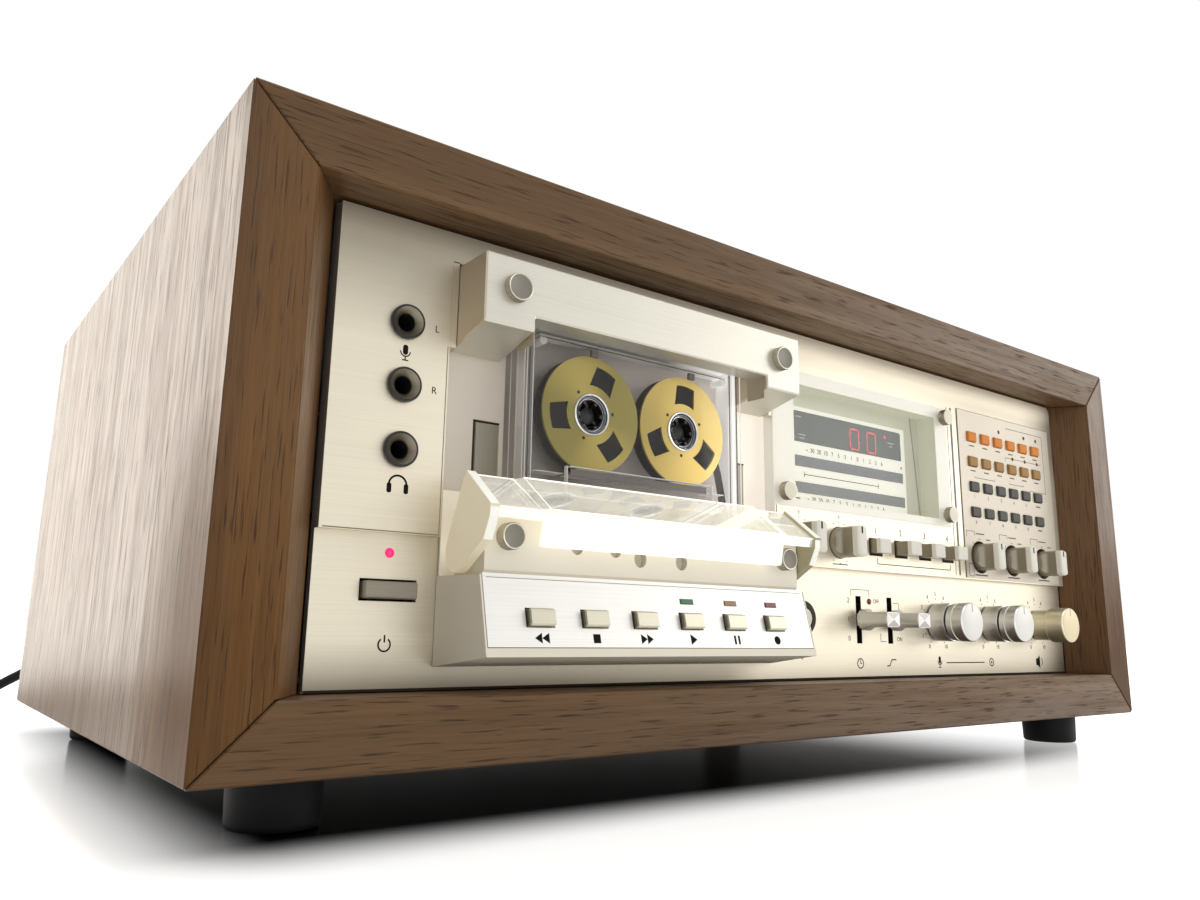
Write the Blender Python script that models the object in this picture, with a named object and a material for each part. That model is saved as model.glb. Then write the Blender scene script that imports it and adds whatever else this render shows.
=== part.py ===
"""Cassette deck in a mitred wooden cabinet.

Metres, +Z up, +Y to the rear. The origin is the middle of the deck's footprint on the surface
that it stands on. Most pieces are laid out in the panel frame: x to the right, out towards the
viewer from the lower panel's face, and z up from the panel's middle.
"""
import math

import bmesh
import bpy
from mathutils import Matrix, Vector

# Clearances shared by all pieces
GAP = 0.0003            # running or seating gap between neighbours
OVERRUN = 0.0020        # how far a cutter runs past the face it cuts
WELD = 0.0006           # how far shapes joined into one piece reach into each other

# Wooden cabinet
CABINET_WIDTH = 0.4823
CABINET_HEIGHT = 0.1863
CABINET_DEPTH = 0.3218
BOARD = 0.0200
BOARD_EDGE = 0.0005     # eased edge of the veneered boards
RECESS = 0.0181         # panel face behind the cabinet's front edge
REVEAL_GAP = 0.0016     # dark gap between the panel's ends and the slanting reveals
REVEAL_BACK = 0.0050    # how far the reveal runs behind the panel's face
FOOT_HEIGHT = 0.0155
FOOT_RADIUS = 0.0135
FOOT_TOE_RADIUS = 0.0128
FOOT_EDGE = 0.0012
FOOT_SCREW_RADIUS = 0.0040
FOOT_SCREW_DEPTH = 0.0080
FOOT_SIDE_INSET = 0.0320
FOOT_FRONT_INSET = 0.0300
FOOT_REAR_INSET = 0.0420

# Faceplate: a lower plane and a raised upper plane, one casting
PANEL_SIDE_ROOM = 0.01315   # from a side board's inner face to the panel's end
PANEL_WIDTH = CABINET_WIDTH - 2 * BOARD - 2 * PANEL_SIDE_ROOM
PANEL_HEIGHT = CABINET_HEIGHT - 2 * BOARD - 2 * GAP
PANEL_THICKNESS = 0.0030
RAISE = 0.0030
STEP_Z = -0.0272
PANEL_CORNER = 0.0050
REBATE = 0.0008         # the panel's front edges stand back from the cabinet by this
REBATE_OUT = -0.0012
LOWER_ROW_Z = -0.0482   # levers, level knobs and mute button
UPPER_ROW_Z = -0.0162   # small knobs, tape buttons and selectors

# Cassette bay, all in the panel frame: the column of sockets on its left, the controls on its right
SHELL_WIDTH = 0.1004
BAY_SIDE_ROOM = 0.0248
SOCKET_COLUMN = 0.0384
BAY_HALF = SHELL_WIDTH / 2 + BAY_SIDE_ROOM
BAY_X = SOCKET_COLUMN + BAY_HALF - PANEL_WIDTH / 2
BAY_RIGHT = BAY_X + BAY_HALF
CONTROLS_WIDTH = PANEL_WIDTH / 2 - BAY_RIGHT
BAY_TOP_Z = 0.0623
BAY_BOTTOM_Z = -0.0265
WELL_OUT = -0.0020
WELL_THICKNESS = 0.0034
POCKET_DEPTH = 0.0014
POCKET_CLEARANCE = 0.0008
HEAD_NOTCH_HALF = 0.0415
HEAD_NOTCH_TOP_Z = -0.0125
LEDGE_WIDTH = 0.0055
LEDGE_HEIGHT = 0.0022
LEDGE_REACH = 0.0085
SENSOR_WIDTH = 0.0100
SENSOR_ROOM = 0.0074
SENSOR_TOP_Z = 0.0124
SENSOR_BOTTOM_Z = -0.0090
SENSOR_OFFSET = SHELL_WIDTH / 2 + SENSOR_ROOM
SENSOR_RIM = 0.0012
SENSOR_DEPTH = 0.0009

# Cassette: shell, hubs and tape reels
SHELL_HEIGHT = 0.0638
SHELL_BOTTOM_Z = -0.0161
SHELL_BACK_OUT = 0.0
SHELL_THICKNESS = 0.0087
SHELL_WALL = 0.0010
SHELL_CORNER = 0.0022
HEAD_STEP_RISE = 0.0016     # the thicker tape side stands this far out of both faces
HEAD_STEP_HEIGHT = 0.0150
HEAD_STEP_SIDE = 0.0160
HEAD_STEP_SLANT = 0.0020
HUB_PITCH = 0.0424
HUB_Z = 0.0185
HUB_OPENING_RADIUS = 0.0062
HEAD_OPENING_HALF = 0.0075
SIDE_OPENING_X = 0.0259
SIDE_OPENING_HALF = 0.0069
TAPE_OPENING_HEIGHT = 0.0050
CAPSTAN_X = 0.0285
CAPSTAN_Z = -0.0105
CAPSTAN_RADIUS = 0.0013
CAPSTAN_OPENING_RADIUS = 0.0030
REEL_RADIUS = 0.0205
REEL_FLANGE = 0.0008
REEL_WIDTH = 0.0055
TAPE_RADIUS = 0.0172
REEL_BORE_RADIUS = 0.0053
REEL_TOOTH_LENGTH = 0.0011
REEL_TOOTH_WIDTH = 0.0012
REEL_TEETH = 6
REEL_WINDOWS = 3
REEL_WINDOW_INNER = 0.0109
REEL_WINDOW_OUTER = 0.0174
REEL_WINDOW_INNER_ANGLE = 54.0
REEL_WINDOW_OUTER_ANGLE = 26.0
LEFT_REEL_TURN = 69.0       # where its first window stands at rest
RIGHT_REEL_TURN = 85.0
SPINDLE_SHAFT_RADIUS = 0.0015
SPINDLE_CORE_RADIUS = 0.0030
SPINDLE_WING_RADIUS = 0.0046
SPINDLE_WING_WIDTH = 0.0012
SPINDLE_WINGS = 3
SPINDLE_TIP = 0.0020
SPINDLE_REACH = 0.0045      # spindle end in front of the shell's back
TURNTABLE_RADIUS = 0.0120
TURNTABLE_THICKNESS = 0.0040
TURNTABLE_BEHIND = 0.0012   # turntable's face behind the well

# Bridge bar over the cassette
BRIDGE_SIDE_ROOM = 0.0025
BRIDGE_HALF = BAY_HALF - BRIDGE_SIDE_ROOM
BRIDGE_OUT = 0.0201
BRIDGE_TOP_Z = 0.0615
BRIDGE_FRONT_BOTTOM_Z = 0.0385
BRIDGE_BACK_BOTTOM_Z = 0.0330
BRIDGE_NOTCH_ROOM = 0.0034
BRIDGE_NOTCH_HALF = SHELL_WIDTH / 2 + BRIDGE_NOTCH_ROOM
BRIDGE_NOTCH_Z = 0.0433
BRIDGE_POCKET_OUT = 0.0105
BRIDGE_EDGE = 0.0005
STUD_RADIUS = 0.0045
STUD_HEIGHT = 0.0026
STUD_EDGE = 0.0005
BRIDGE_STUD_INSET = 0.0113
BRIDGE_STUD_X = BRIDGE_HALF - BRIDGE_STUD_INSET
BRIDGE_STUD_Z = 0.0512

# Control housing below the cassette, with its slanting fascia
FASCIA_BEZEL = 0.0009
HOUSING_FRONT_ROOM = 0.0043
HOUSING_FRONT_HALF = BAY_HALF - HOUSING_FRONT_ROOM
FASCIA_HALF = HOUSING_FRONT_HALF - FASCIA_BEZEL
FASCIA_TOP_Z = -0.0384
FASCIA_TOP_OUT = 0.0200
FASCIA_BOTTOM_Z = -0.0597
FASCIA_BOTTOM_OUT = 0.0252
FASCIA_THICKNESS = 0.0015
HOUSING_BACK_ROOM = 0.0008
HOUSING_BACK_HALF = BAY_HALF - HOUSING_BACK_ROOM
HOUSING_BOTTOM_Z = -0.0625
HOUSING_BACK_BOTTOM_Z = -0.0660
HOUSING_SHOULDER_Z = -0.0390
HOUSING_UPPER_ROOM = 0.0064
HOUSING_UPPER_HALF = BAY_HALF - HOUSING_UPPER_ROOM
HOUSING_UPPER_OUT = 0.0190
HOUSING_UPPER_TOP_Z = -0.0175
HOUSING_WALL = 0.0026
HOUSING_FLOOR_Z = -0.0358
HOUSING_SEAT_OUT = 0.0182   # front of the housing behind the fascia's top edge
HOUSING_CHAMFER = 0.0010
HOUSING_SLOT_ROOM = 0.0013
HOUSING_SLOT_HALF = SHELL_WIDTH / 2 + HOUSING_SLOT_ROOM
TAB_ROOM = 0.0090
TAB_INNER = BAY_HALF - TAB_ROOM
TAB_OUT = 0.0011
TAB_TOP_Z = -0.0124
THUMB_INSET = 0.0078
THUMB_X = HOUSING_UPPER_HALF - THUMB_INSET
THUMB_Z = -0.0273
THUMB_RADIUS = 0.0040
THUMB_HEIGHT = 0.0039
AZIMUTH_RADIUS = 0.0023
AZIMUTH_Z = -0.0290
AZIMUTH_SLOT_Z = -0.0312
AZIMUTH_SHARES = (-0.507, -0.281)           # of the housing's upper half width
AZIMUTH_SLOT_SHARES = (-0.128, 0.140)
AZIMUTH_SLOT_HALF = 0.0026
AZIMUTH_SLOT_HEIGHT = 0.0056

# Transport buttons on the fascia
TRANSPORT_PITCH = 0.0204
TRANSPORT_WIDTH = 0.0094
TRANSPORT_HEIGHT = 0.0050
TRANSPORT_PROUD = 0.0020
TRANSPORT_BEHIND = 0.0030
TRANSPORT_TRAVEL = 0.0015
TRANSPORT_DOWN = 0.0132     # from the fascia's top edge, along its slope
TRANSPORT_NAMES = ("rewind_button", "stop_button", "fast_forward_button",
                   "play_button", "pause_button", "record_button")
BUTTON_GAP = 0.0004
BUTTON_EDGE = 0.0004

# Hinged head cover: two arms on a crossbar, and the clear cover between them
PIVOT_OUT = 0.0080
PIVOT_Z = -0.0320
PIVOT_PIN_RADIUS = 0.0018
PIVOT_PIN_LENGTH = 0.0022
ARM_ROOM = 0.0025
ARM_OUTER = BAY_HALF - ARM_ROOM
ARM_THICKNESS = 0.0032
ARM_END_RADIUS = 0.0062
COVER_TOP_OUT = 0.0130
COVER_TOP_Z = -0.0076
COVER_CREASE_OUT = 0.0280
COVER_CREASE_Z = -0.0190
COVER_FOOT_OUT = 0.0256
COVER_FOOT_Z = -0.0303
COVER_THICKNESS = 0.0022
COVER_STRIP_ROOM = 0.0023
COVER_STRIP_HALF = SHELL_WIDTH / 2 + COVER_STRIP_ROOM
COVER_HIP_ROOM = 0.0016     # the thicker middle falls away to the ends from here
COVER_HIP_WIDTH = 0.0037
COVER_HIP_INNER = SHELL_WIDTH / 2 + COVER_HIP_ROOM
COVER_HIP_OUTER = COVER_HIP_INNER + COVER_HIP_WIDTH
COVER_LIP_Z = -0.0225
CROSSBAR_OUT = 0.02325
CROSSBAR_DEPTH = 0.0016
CROSSBAR_TOP_Z = -0.0199
CROSSBAR_HEIGHT = 0.0020
COVER_RAISE = 0.0010        # thicker middle of the clear cover
ARM_BELLY_OUT = 0.0245
ARM_BELLY_Z = -0.0290
ARM_NOSE_OUT = 0.0276
ARM_NOSE_Z = -0.0226
ARM_HEEL_OUT = 0.0112
ARM_HEEL_Z = -0.0104

# Display behind its clear plate
DISPLAY_SHARE = 0.27241
DISPLAY_X = BAY_RIGHT + DISPLAY_SHARE * CONTROLS_WIDTH
DISPLAY_Z = 0.0262
WINDOW_Z = 0.0251
GLASS_SHARE = 0.27065
GLASS_HALF_WIDTH = GLASS_SHARE * CONTROLS_WIDTH
GLASS_MARGIN = 0.0083
WINDOW_HALF_WIDTH = GLASS_HALF_WIDTH - GLASS_MARGIN
WINDOW_HALF_HEIGHT = 0.0249
GLASS_HALF_HEIGHT = 0.0296
GLASS_THICKNESS = 0.0015
GLASS_EDGE = 0.0004
GLASS_STUD_INSET = 0.0039
GLASS_STUD_X = GLASS_HALF_WIDTH - GLASS_STUD_INSET
GLASS_STUD_Z = 0.0239
GLASS_STUD_RADIUS = 0.0037
GLASS_STUD_SHANK = 0.0020
GLASS_STUD_HEIGHT = 0.0032
TRAY_RIM = 0.0020
TRAY_DEPTH = 0.0040
TRAY_BACK = 0.0018
TRAY_LIP = 0.0008           # tray's opening beyond the window on each side
SCREEN_RELIEF = 0.0006
SCREEN_SHARES = ((0.29, 0.60), (-0.02, 0.17), (-0.54, -0.35))   # heights, of the window's half
SCREEN_END_SHARES = (-0.78, 0.72)                               # ends, of its half width

# Level knobs on the lower panel
LEVEL_SHARES = (0.49385, 0.68981, 0.88576)      # places across the controls' width
LEVEL_RADIUS = 0.0087
LEVEL_REACH = 0.0187
LEVEL_SPLIT = 0.0092
LEVEL_LIFT = 0.0006
LEVEL_NECK_RADIUS = 0.0080
LEVEL_NECK = 0.0022
LEVEL_EDGE = 0.0007
LEVEL_SHAFT_RADIUS = 0.0023
LEVEL_SLEEVE_RADIUS = 0.0042
OUTPUT_REAR_RADIUS = 0.0076
SHAFT_BEHIND = 0.0080

# Small round knobs with two flats: pitch, bias and the three selectors
SMALL_KNOB_SHARES = (0.06283, 0.17575, 0.64851, 0.77944, 0.91037)
SMALL_KNOB_RADIUS = 0.0066
SMALL_KNOB_REACH = 0.0150
SMALL_KNOB_FLAT = 0.0033
SMALL_KNOB_FOOT = 0.0062
SMALL_KNOB_EDGE = 0.0005
SELECTOR_ROOM = 0.0014      # dark ring round each of the last three, in the panel
FIRST_SELECTOR = 2

# Tape buttons, program keys, power, mute and jacks
TAPE_SHARES = (0.28559, 0.36643, 0.44728, 0.52812)
TAPE_WIDTH = 0.0080
TAPE_HEIGHT = 0.0062
TAPE_REACH = 0.0113
TAPE_LATCH = 0.0029
KEY_SHARE = 0.64236
KEY_PITCH_SHARE = 0.053603
KEY_X = BAY_RIGHT + KEY_SHARE * CONTROLS_WIDTH
KEY_PITCH_X = KEY_PITCH_SHARE * CONTROLS_WIDTH
KEY_WIDTH_SHARE = 0.607     # of the pitch
KEY_TOP_Z = 0.0445
KEY_PITCH_Z = 0.01277
KEY_WIDTH = KEY_WIDTH_SHARE * KEY_PITCH_X
KEY_HEIGHT = 0.0047
KEY_PROUD = 0.0015
KEY_COLUMNS = 6
KEY_CARRIER_THICKNESS = 0.0014
KEY_CARRIER_MARGIN = 0.0018
POWER_INSET = 0.0236
POWER_X = POWER_INSET - PANEL_WIDTH / 2
POWER_MARGIN = 0.0007
POWER_Z = -0.0439
POWER_WIDTH = 0.0168
POWER_HEIGHT = 0.0051
POWER_PROUD = 0.0026
POWER_BEHIND = 0.0070
MUTE_SHARE = 0.08612
MUTE_X = BAY_RIGHT + MUTE_SHARE * CONTROLS_WIDTH
MUTE_RADIUS = 0.0067
MUTE_CAP_RADIUS = 0.0050
MUTE_PROUD = 0.0012
MUTE_COLLAR_SINK = 0.0030
JACK_INSET = 0.0233
JACK_X = JACK_INSET - PANEL_WIDTH / 2
JACK_TOP_Z = 0.0382
JACK_PITCH = 0.0201
JACK_NUT_RADIUS = 0.0055
JACK_BARREL_RADIUS = 0.0046
JACK_BORE_RADIUS = 0.0032
JACK_MOUTH_RADIUS = 0.0048
JACK_CONE = 0.0014
JACK_PROUD = 0.0016
JACK_LENGTH = 0.0180
JACK_BRACKET_HALF = 0.0070
JACK_BRACKET_THICKNESS = 0.0060

# Lever switches
LEVER_SHARES = (0.24077, 0.33656)
LEVER_SLOT_WIDTH = 0.0036
LEVER_SLOT_HALF = 0.0101
LEVER_STEM_WIDTH = 0.0026
LEVER_STEM_HEIGHT = 0.0050
LEVER_PIVOT_BEHIND = 0.0260
LEVER_HANDLE_START = 0.0022
LEVER_REACH = 0.0180
LEVER_RADIUS = 0.0046
LEVER_FLAT = 0.0031
LEVER_FOOT = 0.0060

# Rear panel, chassis and inner works
REAR_INSET = 0.0120
REAR_THICKNESS = 0.0015
VENT_COUNT = 9
VENT_WIDTH = 0.0030
VENT_HEIGHT = 0.0340
VENT_PITCH = 0.0080
VENT_INSET = 0.0872         # from the cabinet's left side to the first vent
PHONO_RADIUS = 0.0042
PHONO_BORE = 0.0016
PHONO_PROUD = 0.0080
PHONO_PITCH = 0.0160
PHONO_ROOM = 0.0400         # from the last vent to the first socket
PHONO_Z = 0.0120
CHASSIS_SHEET = 0.0015
CHASSIS_SIDE_ROOM = 0.02115
CHASSIS_HALF = CABINET_WIDTH / 2 - BOARD - CHASSIS_SIDE_ROOM
CHASSIS_FRONT = 0.0080      # front edge behind the faceplate's back
WALL_OUT = -0.0140
WALL_MARGIN = 0.0030
WALL_HALF = BAY_HALF + WALL_MARGIN
WALL_TOP_Z = 0.0580
POST_RADIUS = 0.0030
POST_HEIGHT = 0.0080
BOARD_SHARES = (0.13005, 0.92091)
BOARD_X = tuple(BAY_RIGHT + share * CONTROLS_WIDTH for share in BOARD_SHARES)
BOARD_DEPTH = 0.1500
BOARD_FRONT = 0.0450
BOARD_SHEET = 0.0016
CHIP_SHARES = ((0.18, 0.30, 0.10, 0.06), (0.46, 0.26, 0.14, 0.07), (0.76, 0.34, 0.08, 0.10))
CHIP_HEIGHT = 0.0050
CAN_SHARES = ((0.20, 0.72), (0.42, 0.70), (0.62, 0.72), (0.84, 0.74))
CAN_RADIUS = 0.0075
CAN_HEIGHT = 0.0240
CORE_SIZE = (0.0700, 0.0420, 0.0580)
CORE_INSET = 0.0730
CORE_X = CORE_INSET - PANEL_WIDTH / 2
CORE_REAR = 0.0250
WINDING_REACH = 0.0090
WINDING_SHARE = 0.62
FLYWHEEL_RADIUS = 0.0300
FLYWHEEL_THICKNESS = 0.0080
FLYWHEEL_RIM = 0.0050
FLYWHEEL_WEB = 0.0030
FLYWHEEL_BEHIND = 0.0020
CARRIAGE_Z = -0.0246
CARRIAGE_SHEET = 0.0014
CARRIAGE_HALF = 0.0380
CARRIAGE_LEAD = 0.0035      # the sheet's front edge before the tape's middle
HEAD_SIZE = (0.0110, 0.0090)
HEAD_TOP_Z = -0.0175
HEAD_OUT = SHELL_BACK_OUT + SHELL_THICKNESS / 2     # on the tape's middle
CARRIAGE_OUT = HEAD_OUT + CARRIAGE_LEAD
HEAD_DOME_SHARE = 0.25
ERASE_SHARE = -0.61
ERASE_SIZE = (0.0060, 0.0070)
ROLLER_RADIUS = 0.0038
ROLLER_WIDTH = 0.0064

# Mains lead: gland, free stretch, coil of four layers, and plug
CORD_DIAMETER = 0.0052
GLAND_INSET = 0.04515
GLAND_X = GLAND_INSET - CABINET_WIDTH / 2
GLAND_Z = 0.0500            # above the surface that the deck stands on
GLAND_LENGTH = 0.0300
GLAND_FLANGE_RADIUS = 0.0085
GLAND_FLANGE = 0.0030
GLAND_ROOT_RADIUS = 0.0058
GLAND_TIP_RADIUS = 0.0036
COIL_ROOM = 0.0588          # from the cabinet's side to the coil's middle
COIL_BEHIND = 0.0561        # from the rear panel to the coil's middle
COIL_X = -CABINET_WIDTH / 2 - COIL_ROOM
COIL_OUTER = 0.0360
COIL_TURNS = 8.25
COIL_LAYERS = 4
COIL_STEP = 0.0058          # from one turn to the next, and from layer to layer
COIL_POINTS = 20
CLIMB_TURNS = 0.5           # a layer is climbed within this much of a turn
TAIL_LENGTH = 0.0540
TAIL_STEPS = 6
PLUG_LENGTH = 0.0340
PLUG_WIDTH = 0.0240
PLUG_THICKNESS = 0.0170
PLUG_NECK = 0.0120
PLUG_NECK_RADIUS = 0.0048
PLUG_SHOULDER_SHARES = (0.80, 0.85)
PLUG_SQUARENESS = 0.55
PRONG_LENGTH = 0.0170
PRONG_WIDTH = 0.0062
PRONG_THICKNESS = 0.0015
PRONG_PITCH = 0.0127
CORD_ROUTE = (          # across and behind the gland, and up from the floor
    (0.0000, 0.0058, 0.0500), (-0.0001, 0.0133, 0.0499), (-0.0010, 0.0228, 0.0490),
    (-0.0038, 0.0338, 0.0466), (-0.0095, 0.0443, 0.0424), (-0.0183, 0.0534, 0.0363),
    (-0.0285, 0.0598, 0.0295), (-0.0390, 0.0628, 0.0230), (-0.0490, 0.0636, 0.0168),
    (-0.0590, 0.0633, 0.0108), (-0.0690, 0.0625, 0.0058), (-0.0790, 0.0619, 0.0031),
    (-0.0890, 0.0618, 0.0026),
)

# Places worked out from the sizes above
ROUND_STEPS = 24
FINE_STEPS = 32
SMALL_STEPS = 16
RUNOUT_STEPS = 4
CURVE_STEPS = 12
FASCIA_RISE = FASCIA_TOP_Z - FASCIA_BOTTOM_Z
FASCIA_LEAN = math.atan2(FASCIA_BOTTOM_OUT - FASCIA_TOP_OUT, FASCIA_RISE)
CABINET_FRONT_Y = -(CABINET_DEPTH - COVER_CREASE_OUT + RECESS) / 2
CABINET_BACK_Y = CABINET_FRONT_Y + CABINET_DEPTH
PANEL_Y = CABINET_FRONT_Y + RECESS
PANEL_Z = FOOT_HEIGHT + CABINET_HEIGHT / 2
PANEL_PLACE = (0, PANEL_Y, PANEL_Z)
REAR_Y = CABINET_BACK_Y - REAR_INSET
GLAND_TIP_Y = REAR_Y + GLAND_LENGTH + GAP
COIL_Y = REAR_Y + COIL_BEHIND
FLOOR_BOARD_Z = FOOT_HEIGHT + BOARD + GAP
SHELL_FRONT_OUT = SHELL_BACK_OUT + SHELL_THICKNESS
SHELL_TOP_Z = SHELL_BOTTOM_Z + SHELL_HEIGHT
KEY_ROWS_Z = tuple(KEY_TOP_Z - row * KEY_PITCH_Z for row in range(4))

FINISHES = {
    "walnut": ((0.250, 0.135, 0.080), 0.45, 0.0),
    "champagne_metal": ((0.760, 0.720, 0.630), 0.35, 0.85),
    "beige_moulding": ((0.640, 0.590, 0.500), 0.45, 0.2),
    "chrome_knob": ((0.780, 0.770, 0.750), 0.15, 1.0),
    "gold_knob": ((0.780, 0.700, 0.520), 0.22, 1.0),
    "knob_grey": ((0.430, 0.410, 0.370), 0.40, 0.4),
    "orange_plastic": ((0.880, 0.400, 0.130), 0.45, 0.0),
    "tan_plastic": ((0.560, 0.400, 0.220), 0.45, 0.0),
    "grey_plastic": ((0.160, 0.155, 0.150), 0.50, 0.0),
    "black_plastic": ((0.020, 0.020, 0.020), 0.50, 0.0),
    "black_rubber": ((0.015, 0.015, 0.015), 0.80, 0.0),
    "clear_plastic": ((0.900, 0.900, 0.880), 0.08, 0.0),
    "reel_gold": ((0.720, 0.550, 0.180), 0.28, 0.9),
    "display_grey": ((0.400, 0.430, 0.410), 0.50, 0.0),
    "zinc_steel": ((0.500, 0.500, 0.480), 0.40, 0.9),
    "core_steel": ((0.180, 0.170, 0.160), 0.50, 0.6),
    "board_green": ((0.050, 0.160, 0.070), 0.60, 0.0),
}


def clear_scene():
    for item in list(bpy.data.objects):
        bpy.data.objects.remove(item, do_unlink=True)


def finish(name):
    """Principled material of a finish, made once."""
    material = bpy.data.materials.get(name)
    if material:
        return material
    colour, roughness, metallic = FINISHES[name]
    material = bpy.data.materials.new(name)
    material.use_nodes = True
    shader = material.node_tree.nodes["Principled BSDF"]
    shader.inputs["Base Color"].default_value = (*colour, 1)
    shader.inputs["Roughness"].default_value = roughness
    shader.inputs["Metallic"].default_value = metallic
    material.diffuse_color = (*colour, 1)
    return material


def panel(x, out, z):
    """A point of the panel frame, relative to the panel's middle."""
    return Vector((x, -out, z))


def place(x, out, z):
    """The same point in the world."""
    return Vector(PANEL_PLACE) + panel(x, out, z)


def add_loft(bm, rings):
    """Closed solid through rings of equal count, capped at both ends."""
    layers = [[bm.verts.new(point) for point in ring] for ring in rings]
    count = len(layers[0])
    for low, high in zip(layers, layers[1:]):
        for i in range(count):
            j = (i + 1) % count
            bm.faces.new((low[i], low[j], high[j], high[i]))
    bm.faces.new(layers[0][::-1])
    bm.faces.new(layers[-1])


def add_block(bm, xs, outs, zs):
    """Rectangular block in panel directions."""
    rings = [[panel(xs[0], out, zs[0]), panel(xs[1], out, zs[0]),
              panel(xs[1], out, zs[1]), panel(xs[0], out, zs[1])] for out in outs]
    add_loft(bm, rings)


def add_profile(bm, outline, xs):
    """Outline of (out, z) points drawn along x."""
    add_loft(bm, [[panel(x, out, z) for out, z in outline] for x in xs])


def add_turned(bm, outline, centre, axis="out", steps=ROUND_STEPS, closed=False):
    """Turn (radius, height) points about an axis: out of the panel, along x, or up."""
    directions = {"out": (Vector((1, 0, 0)), Vector((0, 0, 1)), Vector((0, -1, 0))),
                  "x": (Vector((0, 1, 0)), Vector((0, 0, 1)), Vector((1, 0, 0))),
                  "up": (Vector((1, 0, 0)), Vector((0, 1, 0)), Vector((0, 0, 1)))}
    across, over, along = directions[axis]
    rings = []
    for radius, height in outline:
        base = centre + along * height
        if radius == 0:
            rings.append([bm.verts.new(base)])
            continue
        angles = [2 * math.pi * i / steps for i in range(steps)]
        rings.append([bm.verts.new(base + radius * (across * math.cos(a) + over * math.sin(a)))
                      for a in angles])
    pairs = list(zip(rings, rings[1:]))
    if closed:
        pairs.append((rings[-1], rings[0]))
    for low, high in pairs:
        for i in range(steps):
            j = (i + 1) % steps
            corners = [low[i % len(low)], low[j % len(low)],
                       high[j % len(high)], high[i % len(high)]]
            face = list(dict.fromkeys(corners))
            bm.faces.new(face)
    if not closed:
        for ring in (rings[0], rings[-1]):
            if len(ring) > 1:
                bm.faces.new(ring)


def arc(centre, radius, start, end, count):
    """Points of a circle's arc, angles in degrees."""
    points = []
    for i in range(count):
        angle = math.radians(start + (end - start) * i / (count - 1))
        points.append((centre[0] + radius * math.cos(angle),
                       centre[1] + radius * math.sin(angle)))
    return points


def make(name, bm, finish_name=None, location=PANEL_PLACE, smooth=False):
    """Object from a bmesh; without a finish it is a cutter or a tool for joining."""
    bmesh.ops.recalc_face_normals(bm, faces=bm.faces)
    mesh = bpy.data.meshes.new(name)
    bm.to_mesh(mesh)
    bm.free()
    item = bpy.data.objects.new(name, mesh)
    item.location = location
    bpy.context.scene.collection.objects.link(item)
    if finish_name:
        mesh.materials.append(finish(finish_name))
    else:
        item.hide_render = True
        item.display_type = "WIRE"
    if smooth:
        mesh.shade_smooth()
        mesh.set_sharp_from_angle(angle=math.radians(35))
    return item


def combine(item, tool, operation):
    modifier = item.modifiers.new(f"{operation.lower()}_{tool.name}", "BOOLEAN")
    modifier.operation = operation
    modifier.solver = "EXACT"
    modifier.object = tool


def tool_from(item, label, fill):
    """Hidden tool in the same place as its item, filled by a function."""
    bm = bmesh.new()
    fill(bm)
    return make(f"{item.name}_{label}", bm, location=item.location)


def cut(item, label, fill):
    combine(item, tool_from(item, label, fill), "DIFFERENCE")


def join(item, label, fill):
    combine(item, tool_from(item, label, fill), "UNION")


def ease(item, width, segments=1):
    """Small bevel along every sharp edge."""
    modifier = item.modifiers.new("eased_edges", "BEVEL")
    modifier.width = width
    modifier.segments = segments
    modifier.limit_method = "ANGLE"
    modifier.angle_limit = math.radians(40)


def plain(name, finish_name, fill, location=PANEL_PLACE, smooth=False):
    bm = bmesh.new()
    fill(bm)
    return make(name, bm, finish_name, location, smooth)


# Cabinet

def mitred_ring(y, half_long, half_short, outer, inner, upright):
    """Trapezoid of one board's end, long side outwards."""
    corners = ((-half_long, outer), (half_long, outer), (half_short, inner), (-half_short, inner))
    if upright:
        return [Vector((across, y, along)) for along, across in corners]
    return [Vector((along, y, across)) for along, across in corners]


def cabinet_board(name, side, upright):
    """One mitred board; side is +1 for top and right, -1 for bottom and left."""
    mitre = GAP * math.sqrt(0.5)
    length, reach = ((CABINET_HEIGHT, CABINET_WIDTH) if upright
                     else (CABINET_WIDTH, CABINET_HEIGHT))
    half_long = length / 2 - mitre
    half_short = length / 2 - BOARD - mitre
    outer = side * reach / 2
    inner = side * (reach / 2 - BOARD)

    def fill(bm):
        ends = (CABINET_FRONT_Y, CABINET_BACK_Y)
        add_loft(bm, [mitred_ring(y, half_long, half_short, outer, inner, upright)
                      for y in ends])

    board = plain(name, "walnut", fill, location=(0, 0, PANEL_Z))
    ease(board, BOARD_EDGE)
    if upright:
        join(board, "reveal", lambda bm: add_reveal(bm, side))


def add_reveal(bm, side):
    """Slanting reveal that leads in from the front edge to the panel's end."""
    inner = CABINET_WIDTH / 2 - BOARD
    narrow = PANEL_WIDTH / 2 + REVEAL_GAP
    back = RECESS + REVEAL_BACK
    half = CABINET_HEIGHT / 2 - BOARD - GAP
    plan = ((inner + WELD, WELD), (inner - WELD / 2, WELD), (narrow, RECESS), (narrow, back),
            (inner + WELD, back + (inner - narrow)))
    add_loft(bm, [[Vector((side * x, CABINET_FRONT_Y + y, z)) for x, y in plan]
                  for z in (-half, half)])


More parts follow.
